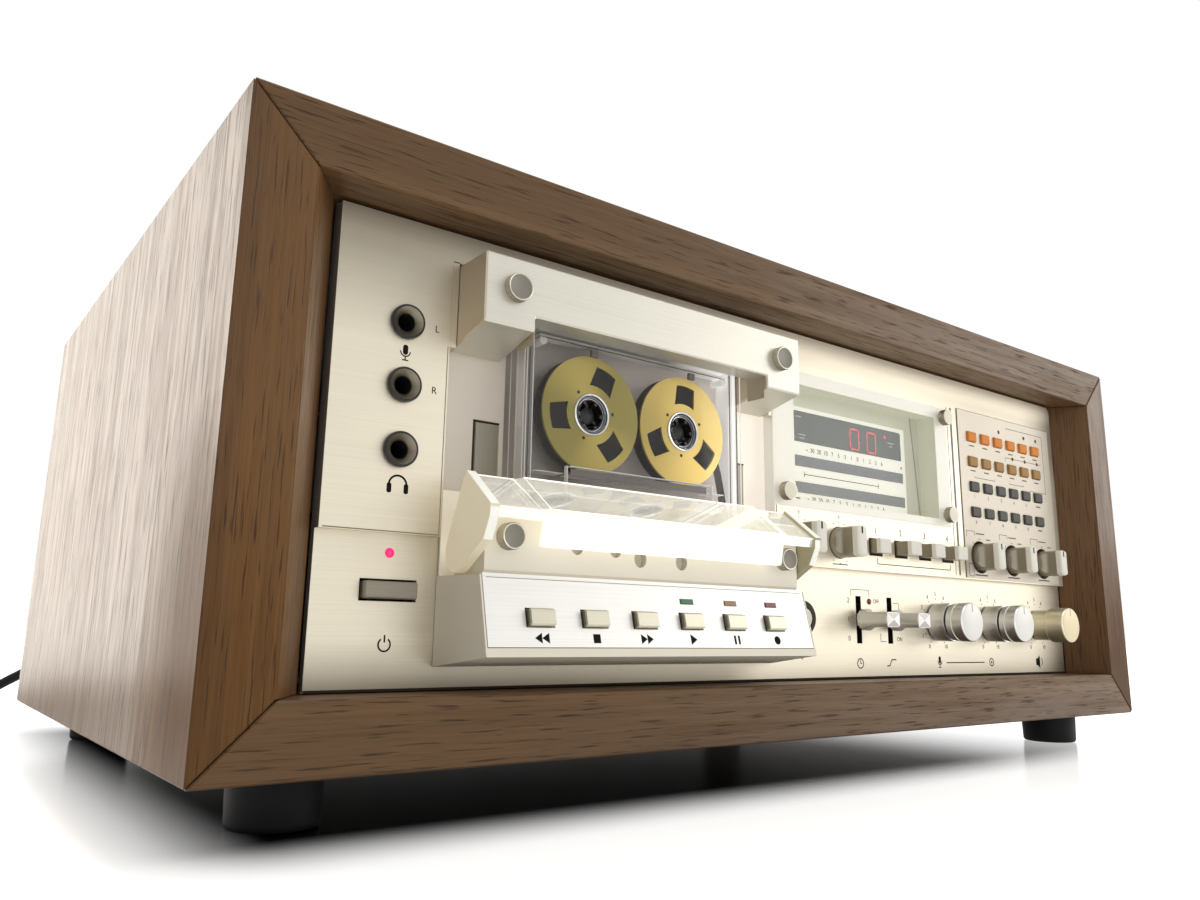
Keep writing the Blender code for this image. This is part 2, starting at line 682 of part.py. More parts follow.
def foot(name, side, y):
    """Turned rubber foot with its screw recess."""
    x = side * (CABINET_WIDTH / 2 - FOOT_SIDE_INSET)
    top = FOOT_HEIGHT - GAP
    outline = ((0, FOOT_SCREW_DEPTH), (FOOT_SCREW_RADIUS, FOOT_SCREW_DEPTH),
               (FOOT_SCREW_RADIUS, 0), (FOOT_TOE_RADIUS - FOOT_EDGE, 0),
               (FOOT_TOE_RADIUS, FOOT_EDGE), (FOOT_RADIUS, top), (0, top))
    plain(name, "black_rubber",
          lambda bm: add_turned(bm, outline, Vector(), axis="up", steps=ROUND_STEPS),
          location=(x, y, 0), smooth=True)


def cabinet():
    cabinet_board("cabinet_top", 1, False)
    cabinet_board("cabinet_bottom", -1, False)
    cabinet_board("cabinet_right", 1, True)
    cabinet_board("cabinet_left", -1, True)
    front = CABINET_FRONT_Y + FOOT_FRONT_INSET
    rear = CABINET_BACK_Y - FOOT_REAR_INSET
    foot("foot_front_left", -1, front)
    foot("foot_front_right", 1, front)
    foot("foot_rear_left", -1, rear)
    foot("foot_rear_right", 1, rear)


# Faceplate

def add_faceplate_body(bm):
    half = PANEL_WIDTH / 2
    low, high = -PANEL_HEIGHT / 2, PANEL_HEIGHT / 2
    corner = arc((half - PANEL_CORNER, high - PANEL_CORNER), PANEL_CORNER, 0, 90, 6)
    outline = [(-half, low), (half, low)] + corner + [(-half, high)]
    add_loft(bm, [[panel(x, out, z) for x, z in outline] for out in (-PANEL_THICKNESS, RAISE)])


def add_edge_rebates(bm):
    """Strips along the panel's top and bottom, which leave a dark line to the cabinet."""
    half = PANEL_WIDTH / 2 + OVERRUN
    edge = PANEL_HEIGHT / 2
    for side in (-1, 1):
        zs = sorted((side * (edge - REBATE), side * (edge + OVERRUN)))
        add_block(bm, (-half, half), (REBATE_OUT, RAISE + OVERRUN), zs)


def add_lower_plane(bm):
    half = PANEL_WIDTH / 2 + OVERRUN
    add_block(bm, (-half, half), (0, RAISE + OVERRUN), (-PANEL_HEIGHT, STEP_Z))


def add_bay_opening(bm):
    """Through opening behind the cassette, wider in front where the housing passes the step."""
    outline = ((-PANEL_THICKNESS - OVERRUN, BAY_BOTTOM_Z), (0, BAY_BOTTOM_Z),
               (0, STEP_Z - OVERRUN), (RAISE + OVERRUN, STEP_Z - OVERRUN),
               (RAISE + OVERRUN, BAY_TOP_Z), (-PANEL_THICKNESS - OVERRUN, BAY_TOP_Z))
    add_profile(bm, outline, (BAY_X - BAY_HALF, BAY_X + BAY_HALF))


def panel_through():
    return (-PANEL_THICKNESS - OVERRUN, RAISE + OVERRUN)


def add_window(bm, x, z, width, height):
    add_block(bm, (x - width / 2, x + width / 2), panel_through(), (z - height / 2, z + height / 2))


def add_hole(bm, x, z, radius, steps=SMALL_STEPS):
    low, high = panel_through()
    add_turned(bm, ((radius, low), (radius, high)), panel(x, 0, z), steps=steps)


def add_key_windows(bm):
    for z in KEY_ROWS_Z:
        for column in range(KEY_COLUMNS):
            add_window(bm, KEY_X + column * KEY_PITCH_X, z,
                       KEY_WIDTH + 2 * GAP, KEY_HEIGHT + 2 * GAP)


def add_upper_openings(bm):
    add_window(bm, DISPLAY_X, WINDOW_Z, 2 * WINDOW_HALF_WIDTH, 2 * WINDOW_HALF_HEIGHT)
    for share in TAPE_SHARES:
        add_window(bm, control_x(share), UPPER_ROW_Z,
                   TAPE_WIDTH + 2 * GAP, TAPE_HEIGHT + 2 * GAP)
    for i, share in enumerate(SMALL_KNOB_SHARES):
        room = SELECTOR_ROOM if i >= FIRST_SELECTOR else GAP
        add_hole(bm, control_x(share), UPPER_ROW_Z, SMALL_KNOB_RADIUS + room, ROUND_STEPS)
    for i in range(3):
        add_hole(bm, JACK_X, JACK_TOP_Z - i * JACK_PITCH, JACK_BARREL_RADIUS + GAP)


def add_lower_openings(bm):
    add_window(bm, POWER_X, POWER_Z, POWER_WIDTH + 2 * POWER_MARGIN,
               POWER_HEIGHT + 2 * POWER_MARGIN)
    add_hole(bm, MUTE_X, LOWER_ROW_Z, MUTE_RADIUS + GAP, ROUND_STEPS)
    for share in LEVER_SHARES:
        add_window(bm, control_x(share), LOWER_ROW_Z, LEVER_SLOT_WIDTH, 2 * LEVER_SLOT_HALF)
    radii = (LEVEL_SLEEVE_RADIUS, LEVEL_SLEEVE_RADIUS, LEVEL_SHAFT_RADIUS)
    for share, radius in zip(LEVEL_SHARES, radii):
        add_hole(bm, control_x(share), LOWER_ROW_Z, radius + GAP)


def control_x(share):
    """Place across the controls, from the bay's right side to the panel's end."""
    return BAY_RIGHT + share * CONTROLS_WIDTH


def add_display_studs(bm):
    """Four headed studs that hold the clear plate."""
    seat = RAISE + GAP + GLASS_THICKNESS + GAP
    outline = ((0, RAISE - WELD), (GLASS_STUD_SHANK, RAISE - WELD), (GLASS_STUD_SHANK, seat),
               (GLASS_STUD_RADIUS, seat), (GLASS_STUD_RADIUS, seat + GLASS_STUD_HEIGHT),
               (0, seat + GLASS_STUD_HEIGHT))
    for side in (-1, 1):
        for end in (-1, 1):
            centre = panel(DISPLAY_X + side * GLASS_STUD_X, 0, DISPLAY_Z + end * GLASS_STUD_Z)
            add_turned(bm, outline, centre, steps=SMALL_STEPS)


def faceplate():
    plate = plain("faceplate", "champagne_metal", add_faceplate_body)
    cut(plate, "rebates", add_edge_rebates)
    cut(plate, "lower_plane", add_lower_plane)
    cut(plate, "bay", add_bay_opening)
    cut(plate, "key_windows", add_key_windows)
    cut(plate, "upper_openings", add_upper_openings)
    cut(plate, "lower_openings", add_lower_openings)
    join(plate, "studs", add_display_studs)


# Cassette bay

def add_well_body(bm):
    half = BAY_HALF - GAP
    add_block(bm, (-half, half), (WELL_OUT - WELL_THICKNESS, WELL_OUT),
              (BAY_BOTTOM_Z + GAP, BAY_TOP_Z - GAP))


def add_well_cuts(bm):
    half = SHELL_WIDTH / 2 + POCKET_CLEARANCE
    add_block(bm, (-half, half), (WELL_OUT - POCKET_DEPTH, WELL_OUT + OVERRUN),
              (SHELL_BOTTOM_Z - GAP, SHELL_TOP_Z + POCKET_CLEARANCE))
    for side in (-1, 1):
        middle = side * SENSOR_OFFSET
        add_block(bm, (middle - SENSOR_WIDTH / 2, middle + SENSOR_WIDTH / 2),
                  (WELL_OUT - SENSOR_DEPTH, WELL_OUT + OVERRUN), (SENSOR_BOTTOM_Z, SENSOR_TOP_Z))


def add_head_notch(bm):
    add_block(bm, (-HEAD_NOTCH_HALF, HEAD_NOTCH_HALF),
              (WELL_OUT - WELL_THICKNESS - OVERRUN, WELL_OUT + OVERRUN),
              (BAY_BOTTOM_Z - OVERRUN, HEAD_NOTCH_TOP_Z))


def add_well_holes(bm):
    span = (WELL_OUT - WELL_THICKNESS - OVERRUN, WELL_OUT + OVERRUN)
    for side in (-1, 1):
        add_turned(bm, [(REEL_BORE_RADIUS, out) for out in span],
                   panel(side * HUB_PITCH / 2, 0, HUB_Z))
    add_turned(bm, [(CAPSTAN_RADIUS + GAP, out) for out in span],
               panel(CAPSTAN_X, 0, CAPSTAN_Z), steps=SMALL_STEPS)


def add_well_ledges(bm):
    """Two pegs that the cassette stands on, and the two touch plates."""
    for side in (-1, 1):
        outer = side * SHELL_WIDTH / 2
        inner = outer - side * LEDGE_WIDTH
        add_block(bm, sorted((inner, outer)), (WELL_OUT - POCKET_DEPTH, WELL_OUT + LEDGE_REACH),
                  (SHELL_BOTTOM_Z - GAP - LEDGE_HEIGHT, SHELL_BOTTOM_Z - GAP))
        middle = side * SENSOR_OFFSET
        reach = SENSOR_WIDTH / 2 - SENSOR_RIM
        add_block(bm, (middle - reach, middle + reach),
                  (WELL_OUT - SENSOR_DEPTH - WELD, WELL_OUT),
                  (SENSOR_BOTTOM_Z + SENSOR_RIM, SENSOR_TOP_Z - SENSOR_RIM))


def cassette_well():
    place_of = place(BAY_X, 0, 0)
    well = plain("cassette_well", "beige_moulding", add_well_body, location=place_of)
    cut(well, "pocket", add_well_cuts)
    cut(well, "head_notch", add_head_notch)
    cut(well, "holes", add_well_holes)
    join(well, "ledges", add_well_ledges)


def add_bridge_body(bm):
    back = WELL_OUT + GAP
    outline = ((back, BRIDGE_BACK_BOTTOM_Z), (BRIDGE_OUT, BRIDGE_FRONT_BOTTOM_Z),
               (BRIDGE_OUT, BRIDGE_TOP_Z), (back, BRIDGE_TOP_Z))
    add_profile(bm, outline, (-BRIDGE_HALF, BRIDGE_HALF))


def add_bridge_cuts(bm):
    """Notch over the cassette, and the pocket that its top goes up into."""
    low = BRIDGE_BACK_BOTTOM_Z - OVERRUN
    pocket_top = SHELL_TOP_Z + POCKET_CLEARANCE
    outline = ((WELL_OUT - OVERRUN, low), (BRIDGE_OUT + OVERRUN, low),
               (BRIDGE_OUT + OVERRUN, BRIDGE_NOTCH_Z), (BRIDGE_POCKET_OUT, BRIDGE_NOTCH_Z),
               (BRIDGE_POCKET_OUT, pocket_top), (WELL_OUT - OVERRUN, pocket_top))
    add_profile(bm, outline, (-BRIDGE_NOTCH_HALF, BRIDGE_NOTCH_HALF))


def stud_outline(radius, seat, height, edge):
    return ((0, seat - WELD), (radius, seat - WELD), (radius, seat + height - edge),
            (radius - edge, seat + height), (0, seat + height))


def add_bridge_studs(bm):
    outline = stud_outline(STUD_RADIUS, BRIDGE_OUT, STUD_HEIGHT, STUD_EDGE)
    for side in (-1, 1):
        add_turned(bm, outline, panel(side * BRIDGE_STUD_X, 0, BRIDGE_STUD_Z))


def cassette_bridge():
    bridge = plain("cassette_bridge", "beige_moulding", add_bridge_body,
                   location=place(BAY_X, 0, 0))
    cut(bridge, "notch", add_bridge_cuts)
    ease(bridge, BRIDGE_EDGE)
    join(bridge, "studs", add_bridge_studs)


# Cassette

def add_shell_body(bm):
    half = SHELL_WIDTH / 2
    radius = SHELL_CORNER
    outline = []
    corners = ((half - radius, SHELL_BOTTOM_Z + radius, -90), (half - radius, SHELL_TOP_Z - radius, 0),
               (radius - half, SHELL_TOP_Z - radius, 90), (radius - half, SHELL_BOTTOM_Z + radius, 180))
    for x, z, start in corners:
        outline += arc((x, z), radius, start, start + 90, 4)
    add_loft(bm, [[panel(x, out, z) for x, z in outline]
                  for out in (SHELL_BACK_OUT, SHELL_FRONT_OUT)])


def add_shell_head_step(bm):
    """Thicker trapezoid along the tape side, standing out of both faces."""
    wide = SHELL_WIDTH / 2 - HEAD_STEP_SIDE
    narrow = wide - HEAD_STEP_SLANT
    top = SHELL_BOTTOM_Z + HEAD_STEP_HEIGHT
    outline = ((-wide, SHELL_BOTTOM_Z), (wide, SHELL_BOTTOM_Z), (narrow, top), (-narrow, top))
    span = (SHELL_BACK_OUT - HEAD_STEP_RISE, SHELL_FRONT_OUT + HEAD_STEP_RISE)
    add_loft(bm, [[panel(x, out, z) for x, z in outline] for out in span])


def add_shell_cavity(bm):
    half = SHELL_WIDTH / 2 - SHELL_WALL
    add_block(bm, (-half, half), (SHELL_BACK_OUT + SHELL_WALL, SHELL_FRONT_OUT - SHELL_WALL),
              (SHELL_BOTTOM_Z + SHELL_WALL, SHELL_TOP_Z - SHELL_WALL))


def add_shell_openings(bm):
    """Three openings on the lower edge, for the heads and the pinch rollers."""
    span = (SHELL_BACK_OUT - HEAD_STEP_RISE + SHELL_WALL,
            SHELL_FRONT_OUT + HEAD_STEP_RISE - SHELL_WALL)
    low = (SHELL_BOTTOM_Z - OVERRUN, SHELL_BOTTOM_Z + TAPE_OPENING_HEIGHT)
    for middle, half in ((0, HEAD_OPENING_HALF), (-SIDE_OPENING_X, SIDE_OPENING_HALF),
                         (SIDE_OPENING_X, SIDE_OPENING_HALF)):
        add_block(bm, (middle - half, middle + half), span, low)


def add_shell_bores(bm):
    span = (SHELL_BACK_OUT - HEAD_STEP_RISE - OVERRUN, SHELL_FRONT_OUT + HEAD_STEP_RISE + OVERRUN)
    for side in (-1, 1):
        add_turned(bm, [(HUB_OPENING_RADIUS, out) for out in span],
                   panel(side * HUB_PITCH / 2, 0, HUB_Z))
        add_turned(bm, [(CAPSTAN_OPENING_RADIUS, out) for out in span],
                   panel(side * CAPSTAN_X, 0, CAPSTAN_Z), steps=SMALL_STEPS)


def cassette_shell():
    shell = plain("cassette_shell", "clear_plastic", add_shell_body, location=place(BAY_X, 0, 0))
    join(shell, "head_step", add_shell_head_step)
    cut(shell, "cavity", add_shell_cavity)
    cut(shell, "openings", add_shell_openings)
    cut(shell, "bores", add_shell_bores)


def reel_back():
    return SHELL_BACK_OUT + SHELL_WALL + GAP * 2


def add_reel_body(bm):
    """Spool with two flanges, the wound tape between them, and a bored hub."""
    back = reel_back()
    front = back + REEL_WIDTH
    outline = ((REEL_BORE_RADIUS, back), (REEL_RADIUS, back), (REEL_RADIUS, back + REEL_FLANGE),
               (TAPE_RADIUS, back + REEL_FLANGE), (TAPE_RADIUS, front - REEL_FLANGE),
               (REEL_RADIUS, front - REEL_FLANGE), (REEL_RADIUS, front),
               (REEL_BORE_RADIUS, front))
    add_turned(bm, outline, Vector(), steps=FINE_STEPS, closed=True)


def add_reel_windows(bm, turn):
    """Windows in the front flange, narrower towards the rim."""
    front = reel_back() + REEL_WIDTH
    wide, narrow = REEL_WINDOW_INNER_ANGLE / 2, REEL_WINDOW_OUTER_ANGLE / 2
    for i in range(REEL_WINDOWS):
        middle = 360 * i / REEL_WINDOWS + turn
        outline = (arc((0, 0), REEL_WINDOW_OUTER, middle - narrow, middle + narrow, 3)
                   + arc((0, 0), REEL_WINDOW_INNER, middle + wide, middle - wide, 5))
        add_loft(bm, [[panel(x, out, z) for x, z in outline]
                      for out in (front - REEL_FLANGE, front + OVERRUN)])


def add_spoke(bm, angle, inner, outer, width, outs):
    """Small radial block, for a tooth or a wing."""
    turn = Matrix.Rotation(math.radians(angle), 3, "Y")
    corners = ((inner, -width / 2), (outer, -width / 2), (outer, width / 2), (inner, width / 2))
    add_loft(bm, [[turn @ panel(x, out, z) for x, z in corners] for out in outs])


def add_reel_teeth(bm):
    back = reel_back()
    outs = (back + REEL_FLANGE, back + REEL_WIDTH - REEL_FLANGE)
    for i in range(REEL_TEETH):
        add_spoke(bm, 360 * i / REEL_TEETH, REEL_BORE_RADIUS - REEL_TOOTH_LENGTH,
                  REEL_BORE_RADIUS + WELD, REEL_TOOTH_WIDTH, outs)


def reel(name, side, turn):
    spool = plain(name, "reel_gold", add_reel_body, smooth=True,
                  location=place(BAY_X + side * HUB_PITCH / 2, 0, HUB_Z))
    cut(spool, "windows", lambda bm: add_reel_windows(bm, turn))
    join(spool, "teeth", add_reel_teeth)


def add_spindle_body(bm):
    """Turntable, shaft to the bearing wall, and the core with its pointed end."""
    table_front = WELL_OUT - WELL_THICKNESS - TURNTABLE_BEHIND
    table_back = table_front - TURNTABLE_THICKNESS
    end = SHELL_BACK_OUT + SPINDLE_REACH
    outline = ((0, WALL_OUT - CHASSIS_SHEET), (SPINDLE_SHAFT_RADIUS, WALL_OUT - CHASSIS_SHEET),
               (SPINDLE_SHAFT_RADIUS, table_back), (TURNTABLE_RADIUS, table_back),
               (TURNTABLE_RADIUS, table_front), (SPINDLE_CORE_RADIUS, table_front),
               (SPINDLE_CORE_RADIUS, end), (0, end + SPINDLE_TIP))
    add_turned(bm, outline, Vector())


def add_spindle_wings(bm):
    outs = (SHELL_BACK_OUT, SHELL_BACK_OUT + SPINDLE_REACH - GAP)
    for i in range(SPINDLE_WINGS):
        add_spoke(bm, 360 * i / SPINDLE_WINGS + 180 / REEL_TEETH, SPINDLE_CORE_RADIUS - WELD,
                  SPINDLE_WING_RADIUS, SPINDLE_WING_WIDTH, outs)


def spindle(name, side):
    shaft = plain(name, "black_plastic", add_spindle_body, smooth=True,
                  location=place(BAY_X + side * HUB_PITCH / 2, 0, HUB_Z))
    join(shaft, "wings", add_spindle_wings)


# Control housing and fascia

def fascia_point(down, proud, x=0.0):
    """Point of the fascia: down along its slope from the top edge, proud of its face."""
    out = FASCIA_TOP_OUT + down * math.sin(FASCIA_LEAN) + proud * math.cos(FASCIA_LEAN)
    z = FASCIA_TOP_Z - down * math.cos(FASCIA_LEAN) + proud * math.sin(FASCIA_LEAN)
    return panel(x, out, z)


def slope_out(z):
    """How far out the fascia's face lies at height z."""
    return FASCIA_TOP_OUT + (FASCIA_TOP_Z - z) * math.tan(FASCIA_LEAN)


def add_housing_lower(bm):
    back = ((-HOUSING_BACK_HALF, HOUSING_BACK_BOTTOM_Z), (HOUSING_BACK_HALF, HOUSING_BACK_BOTTOM_Z),
            (HOUSING_BACK_HALF, HOUSING_SHOULDER_Z), (-HOUSING_BACK_HALF, HOUSING_SHOULDER_Z))
    front = ((-HOUSING_FRONT_HALF, HOUSING_BOTTOM_Z), (HOUSING_FRONT_HALF, HOUSING_BOTTOM_Z),
             (HOUSING_FRONT_HALF, HOUSING_SHOULDER_Z), (-HOUSING_FRONT_HALF, HOUSING_SHOULDER_Z))
    add_loft(bm, [[panel(x, GAP, z) for x, z in back],
                  [panel(x, slope_out(z), z) for x, z in front]])


def add_housing_upper(bm):
    low = HOUSING_SHOULDER_Z - WELD
    outline = ((GAP * 2, low), (HOUSING_SEAT_OUT, low), (HOUSING_SEAT_OUT, FASCIA_TOP_Z),
               (HOUSING_UPPER_OUT, FASCIA_TOP_Z + HOUSING_CHAMFER),
               (HOUSING_UPPER_OUT, HOUSING_UPPER_TOP_Z), (GAP * 2, HOUSING_UPPER_TOP_Z))
    add_profile(bm, outline, (-HOUSING_UPPER_HALF, HOUSING_UPPER_HALF))


def add_housing_tabs(bm):
    """Flat ears behind the cover's arms, seated in the bay beside the cassette."""
    outline = ((GAP, HOUSING_SHOULDER_Z - WELD), (TAB_OUT, HOUSING_SHOULDER_Z - WELD),
               (TAB_OUT, TAB_TOP_Z), (WELL_OUT + GAP, TAB_TOP_Z),
               (WELL_OUT + GAP, BAY_BOTTOM_Z + GAP), (GAP, BAY_BOTTOM_Z + GAP))
    for side in (-1, 1):
        xs = sorted((side * TAB_INNER, side * (HOUSING_BACK_HALF - GAP)))
        add_profile(bm, outline, xs)


def add_housing_cavity(bm):
    half = HOUSING_UPPER_HALF - HOUSING_WALL
    top = HOUSING_UPPER_TOP_Z + OVERRUN
    add_block(bm, (-half, half), (HOUSING_WALL, HOUSING_UPPER_OUT - HOUSING_WALL),
              (HOUSING_FLOOR_Z, top))


def add_housing_back_slot(bm):
    """Open back where the head block and the cassette's pegs come through."""
    add_block(bm, (-HOUSING_SLOT_HALF, HOUSING_SLOT_HALF), (WELL_OUT, HOUSING_WALL + OVERRUN),
              (BAY_BOTTOM_Z, HOUSING_UPPER_TOP_Z + OVERRUN))


def add_thumb_screws(bm):
    outline = stud_outline(THUMB_RADIUS, HOUSING_UPPER_OUT, THUMB_HEIGHT, STUD_EDGE)
    for side in (-1, 1):
        add_turned(bm, outline, panel(side * THUMB_X, 0, THUMB_Z))


def add_pivot_pins(bm):
    centre = panel(0, PIVOT_OUT, PIVOT_Z)
    for side in (-1, 1):
        ends = (side * (HOUSING_UPPER_HALF - WELD), side * (HOUSING_UPPER_HALF + PIVOT_PIN_LENGTH))
        add_turned(bm, [(PIVOT_PIN_RADIUS, end) for end in ends], centre, axis="x",
                   steps=SMALL_STEPS)


def add_azimuth_holes(bm):
    """Access holes to the head's adjusting screws."""
    span = (HOUSING_UPPER_OUT - HOUSING_WALL - OVERRUN, HOUSING_UPPER_OUT + OVERRUN)
    for share in AZIMUTH_SHARES:
        add_turned(bm, [(AZIMUTH_RADIUS, out) for out in span],
                   panel(share * HOUSING_UPPER_HALF, 0, AZIMUTH_Z), steps=SMALL_STEPS)
    for share in AZIMUTH_SLOT_SHARES:
        x = share * HOUSING_UPPER_HALF
        rise = AZIMUTH_SLOT_HEIGHT / 2 - AZIMUTH_SLOT_HALF
        outline = (arc((x, AZIMUTH_SLOT_Z + rise), AZIMUTH_SLOT_HALF, 0, 180, 7)
                   + arc((x, AZIMUTH_SLOT_Z - rise), AZIMUTH_SLOT_HALF, 180, 360, 7))
        add_loft(bm, [[panel(px, out, pz) for px, pz in outline] for out in span])


def transport_x(index):
    return (index - (len(TRANSPORT_NAMES) - 1) / 2) * TRANSPORT_PITCH


def add_fascia_boxes(bm, width, height, low, high):
    """One box per transport button, square to the fascia."""
    for index in range(len(TRANSPORT_NAMES)):
        x = transport_x(index)
        rings = []
        for proud in (low, high):
            rings.append([fascia_point(TRANSPORT_DOWN + down, proud, x + across)
                          for across, down in ((-width / 2, -height / 2), (width / 2, -height / 2),
                                               (width / 2, height / 2), (-width / 2, height / 2))])
        add_loft(bm, rings)


def control_housing():
    housing = plain("control_housing", "beige_moulding", add_housing_lower,
                    location=place(BAY_X, 0, 0))
    join(housing, "upper", add_housing_upper)
    join(housing, "tabs", add_housing_tabs)
    cut(housing, "cavity", add_housing_cavity)
    cut(housing, "back_slot", add_housing_back_slot)
    cut(housing, "azimuth_holes", add_azimuth_holes)
    cut(housing, "fascia_seat", lambda bm: add_fascia_plate(
        bm, GAP, -(FASCIA_THICKNESS + GAP), OVERRUN))
    pocket = -(FASCIA_THICKNESS + TRANSPORT_BEHIND + TRANSPORT_TRAVEL + 2 * GAP)
    cut(housing, "button_pockets", lambda bm: add_fascia_boxes(
        bm, TRANSPORT_WIDTH + 2 * BUTTON_GAP, TRANSPORT_HEIGHT + 2 * BUTTON_GAP,
        pocket, OVERRUN))
    join(housing, "thumb_screws", add_thumb_screws)
    join(housing, "pivot_pins", add_pivot_pins)


def add_fascia_plate(bm, margin=0.0, low=-FASCIA_THICKNESS, high=0.0):
    """The plate, or with a margin the seat that takes it."""
    half = FASCIA_HALF + margin
    length = FASCIA_RISE / math.cos(FASCIA_LEAN) + margin
    rings = []
    for proud in (low, high):
        rings.append([fascia_point(down, proud, x)
                      for x, down in ((-half, -margin), (half, -margin),
                                      (half, length), (-half, length))])
    add_loft(bm, rings)


def control_fascia():
    plate = plain("control_fascia", "champagne_metal", add_fascia_plate,
                  location=place(BAY_X, 0, 0))
    cut(plate, "windows", lambda bm: add_fascia_boxes(
        bm, TRANSPORT_WIDTH + 2 * BUTTON_GAP, TRANSPORT_HEIGHT + 2 * BUTTON_GAP,
        -FASCIA_THICKNESS - OVERRUN, OVERRUN))


def transport_buttons():
    for index, name in enumerate(TRANSPORT_NAMES):
        seat = fascia_point(TRANSPORT_DOWN, 0, BAY_X + transport_x(index))
        half, rise = TRANSPORT_WIDTH / 2, TRANSPORT_HEIGHT / 2
        button = plain(name, "champagne_metal",
                       lambda bm: add_block(bm, (-half, half),
                                            (-FASCIA_THICKNESS - TRANSPORT_BEHIND, TRANSPORT_PROUD),
                                            (-rise, rise)),
                       location=Vector(PANEL_PLACE) + seat)
        button.rotation_euler = (-FASCIA_LEAN, 0, 0)
        ease(button, BUTTON_EDGE)


# Head cover

def arm_outline():
    """Side view of an arm about its pivot, as (out, z): round heel, nose under the crease."""
    pivot = (PIVOT_OUT, PIVOT_Z)
    points = arc(pivot, ARM_END_RADIUS, 155, 298, 10)
    points += [(ARM_BELLY_OUT, ARM_BELLY_Z), (ARM_NOSE_OUT, ARM_NOSE_Z),
               (COVER_CREASE_OUT, COVER_CREASE_Z), (COVER_TOP_OUT, COVER_TOP_Z),
               (ARM_HEEL_OUT, ARM_HEEL_Z)]
    return [(out - PIVOT_OUT, z - PIVOT_Z) for out, z in points]


def add_cover_arms(bm):
    for side in (-1, 1):
        xs = sorted((side * ARM_OUTER, side * (ARM_OUTER - ARM_THICKNESS)))
        add_profile(bm, arm_outline(), xs)


def add_crossbar(bm):
    reach = ARM_OUTER - ARM_THICKNESS + WELD
    low = CROSSBAR_TOP_Z - CROSSBAR_HEIGHT - PIVOT_Z
    outs = (CROSSBAR_OUT - PIVOT_OUT, CROSSBAR_OUT + CROSSBAR_DEPTH - PIVOT_OUT)
    add_block(bm, (-reach, reach), outs, (low, CROSSBAR_TOP_Z - PIVOT_Z))


def add_arm_bores(bm):
    inner = ARM_OUTER - ARM_THICKNESS
    depth = HOUSING_UPPER_HALF + PIVOT_PIN_LENGTH + GAP
    for side in (-1, 1):
        ends = (side * (inner - OVERRUN), side * depth)
        add_turned(bm, [(PIVOT_PIN_RADIUS + GAP, end) for end in ends], Vector(), axis="x",
                   steps=SMALL_STEPS)


def cover_frame():
    frame = plain("cover_frame", "beige_moulding", add_crossbar,
                  location=place(BAY_X, PIVOT_OUT, PIVOT_Z))
    join(frame, "arms", add_cover_arms)
    cut(frame, "bores", add_arm_bores)


def cover_section(raised):
    """Bent section of the clear cover as (out, z) about the pivot."""
    slope = math.atan2(COVER_TOP_Z - COVER_CREASE_Z, COVER_CREASE_OUT - COVER_TOP_OUT)
    lean = math.atan2(COVER_CREASE_OUT - COVER_FOOT_OUT, COVER_CREASE_Z - COVER_FOOT_Z)
    normal_slope = (math.sin(slope), math.cos(slope))
    normal_front = (math.cos(lean), -math.sin(lean))
    bend = (math.pi / 2 - slope + lean) / 2
    reach = 1 / math.cos(bend)
    middle = ((normal_slope[0] + normal_front[0]) / 2, (normal_slope[1] + normal_front[1]) / 2)
    size = math.hypot(*middle)
    normal_crease = (middle[0] / size, middle[1] / size)
    corners = (((COVER_TOP_OUT, COVER_TOP_Z), normal_slope, 1.0),
               ((COVER_CREASE_OUT, COVER_CREASE_Z), normal_crease, reach),
               ((COVER_FOOT_OUT, COVER_FOOT_Z), normal_front, 1.0))
    outer, inner = [], []
    for (out, z), normal, stretch in corners:
        for side, offset in ((outer, raised), (inner, -COVER_THICKNESS)):
            side.append((out + normal[0] * offset * stretch - PIVOT_OUT,
                         z + normal[1] * offset * stretch - PIVOT_Z))
    return outer + inner[::-1]


def add_clear_cover(bm):
    half = ARM_OUTER - ARM_THICKNESS - GAP
    stations = ((-half, -COVER_RAISE), (-COVER_HIP_OUTER, -COVER_RAISE), (-COVER_HIP_INNER, 0),
                (COVER_HIP_INNER, 0), (COVER_HIP_OUTER, -COVER_RAISE), (half, -COVER_RAISE))
    add_loft(bm, [[panel(x, out, z) for out, z in cover_section(raised)]
                  for x, raised in stations])


def add_cover_notches(bm):
    """The front strip stops short of the ends, where the crossbar and screws show."""
    half = ARM_OUTER - ARM_THICKNESS
    for side in (-1, 1):
        xs = sorted((side * COVER_STRIP_HALF, side * (half + OVERRUN)))
        add_block(bm, xs, (COVER_TOP_OUT - PIVOT_OUT, COVER_CREASE_OUT + OVERRUN - PIVOT_OUT),
                  (COVER_FOOT_Z - OVERRUN - PIVOT_Z, COVER_LIP_Z - PIVOT_Z))


def clear_cover():
    cover = plain("clear_cover", "clear_plastic", add_clear_cover,
                  location=place(BAY_X, PIVOT_OUT, PIVOT_Z))
    cut(cover, "notches", add_cover_notches)


# Display

def display_glass():
    def fill(bm):
        add_block(bm, (-GLASS_HALF_WIDTH, GLASS_HALF_WIDTH), (RAISE + GAP, RAISE + GAP + GLASS_THICKNESS),
                  (-GLASS_HALF_HEIGHT, GLASS_HALF_HEIGHT))

    def holes(bm):
        for side in (-1, 1):
            for end in (-1, 1):
                span = (RAISE - OVERRUN, RAISE + GLASS_THICKNESS + OVERRUN)
                add_turned(bm, [(GLASS_STUD_SHANK + GAP, out) for out in span],
                           panel(side * GLASS_STUD_X, 0, end * GLASS_STUD_Z), steps=SMALL_STEPS)

    glass = plain("display_glass", "clear_plastic", fill, location=place(DISPLAY_X, 0, DISPLAY_Z))
    ease(glass, GLASS_EDGE)
    cut(glass, "stud_holes", holes)


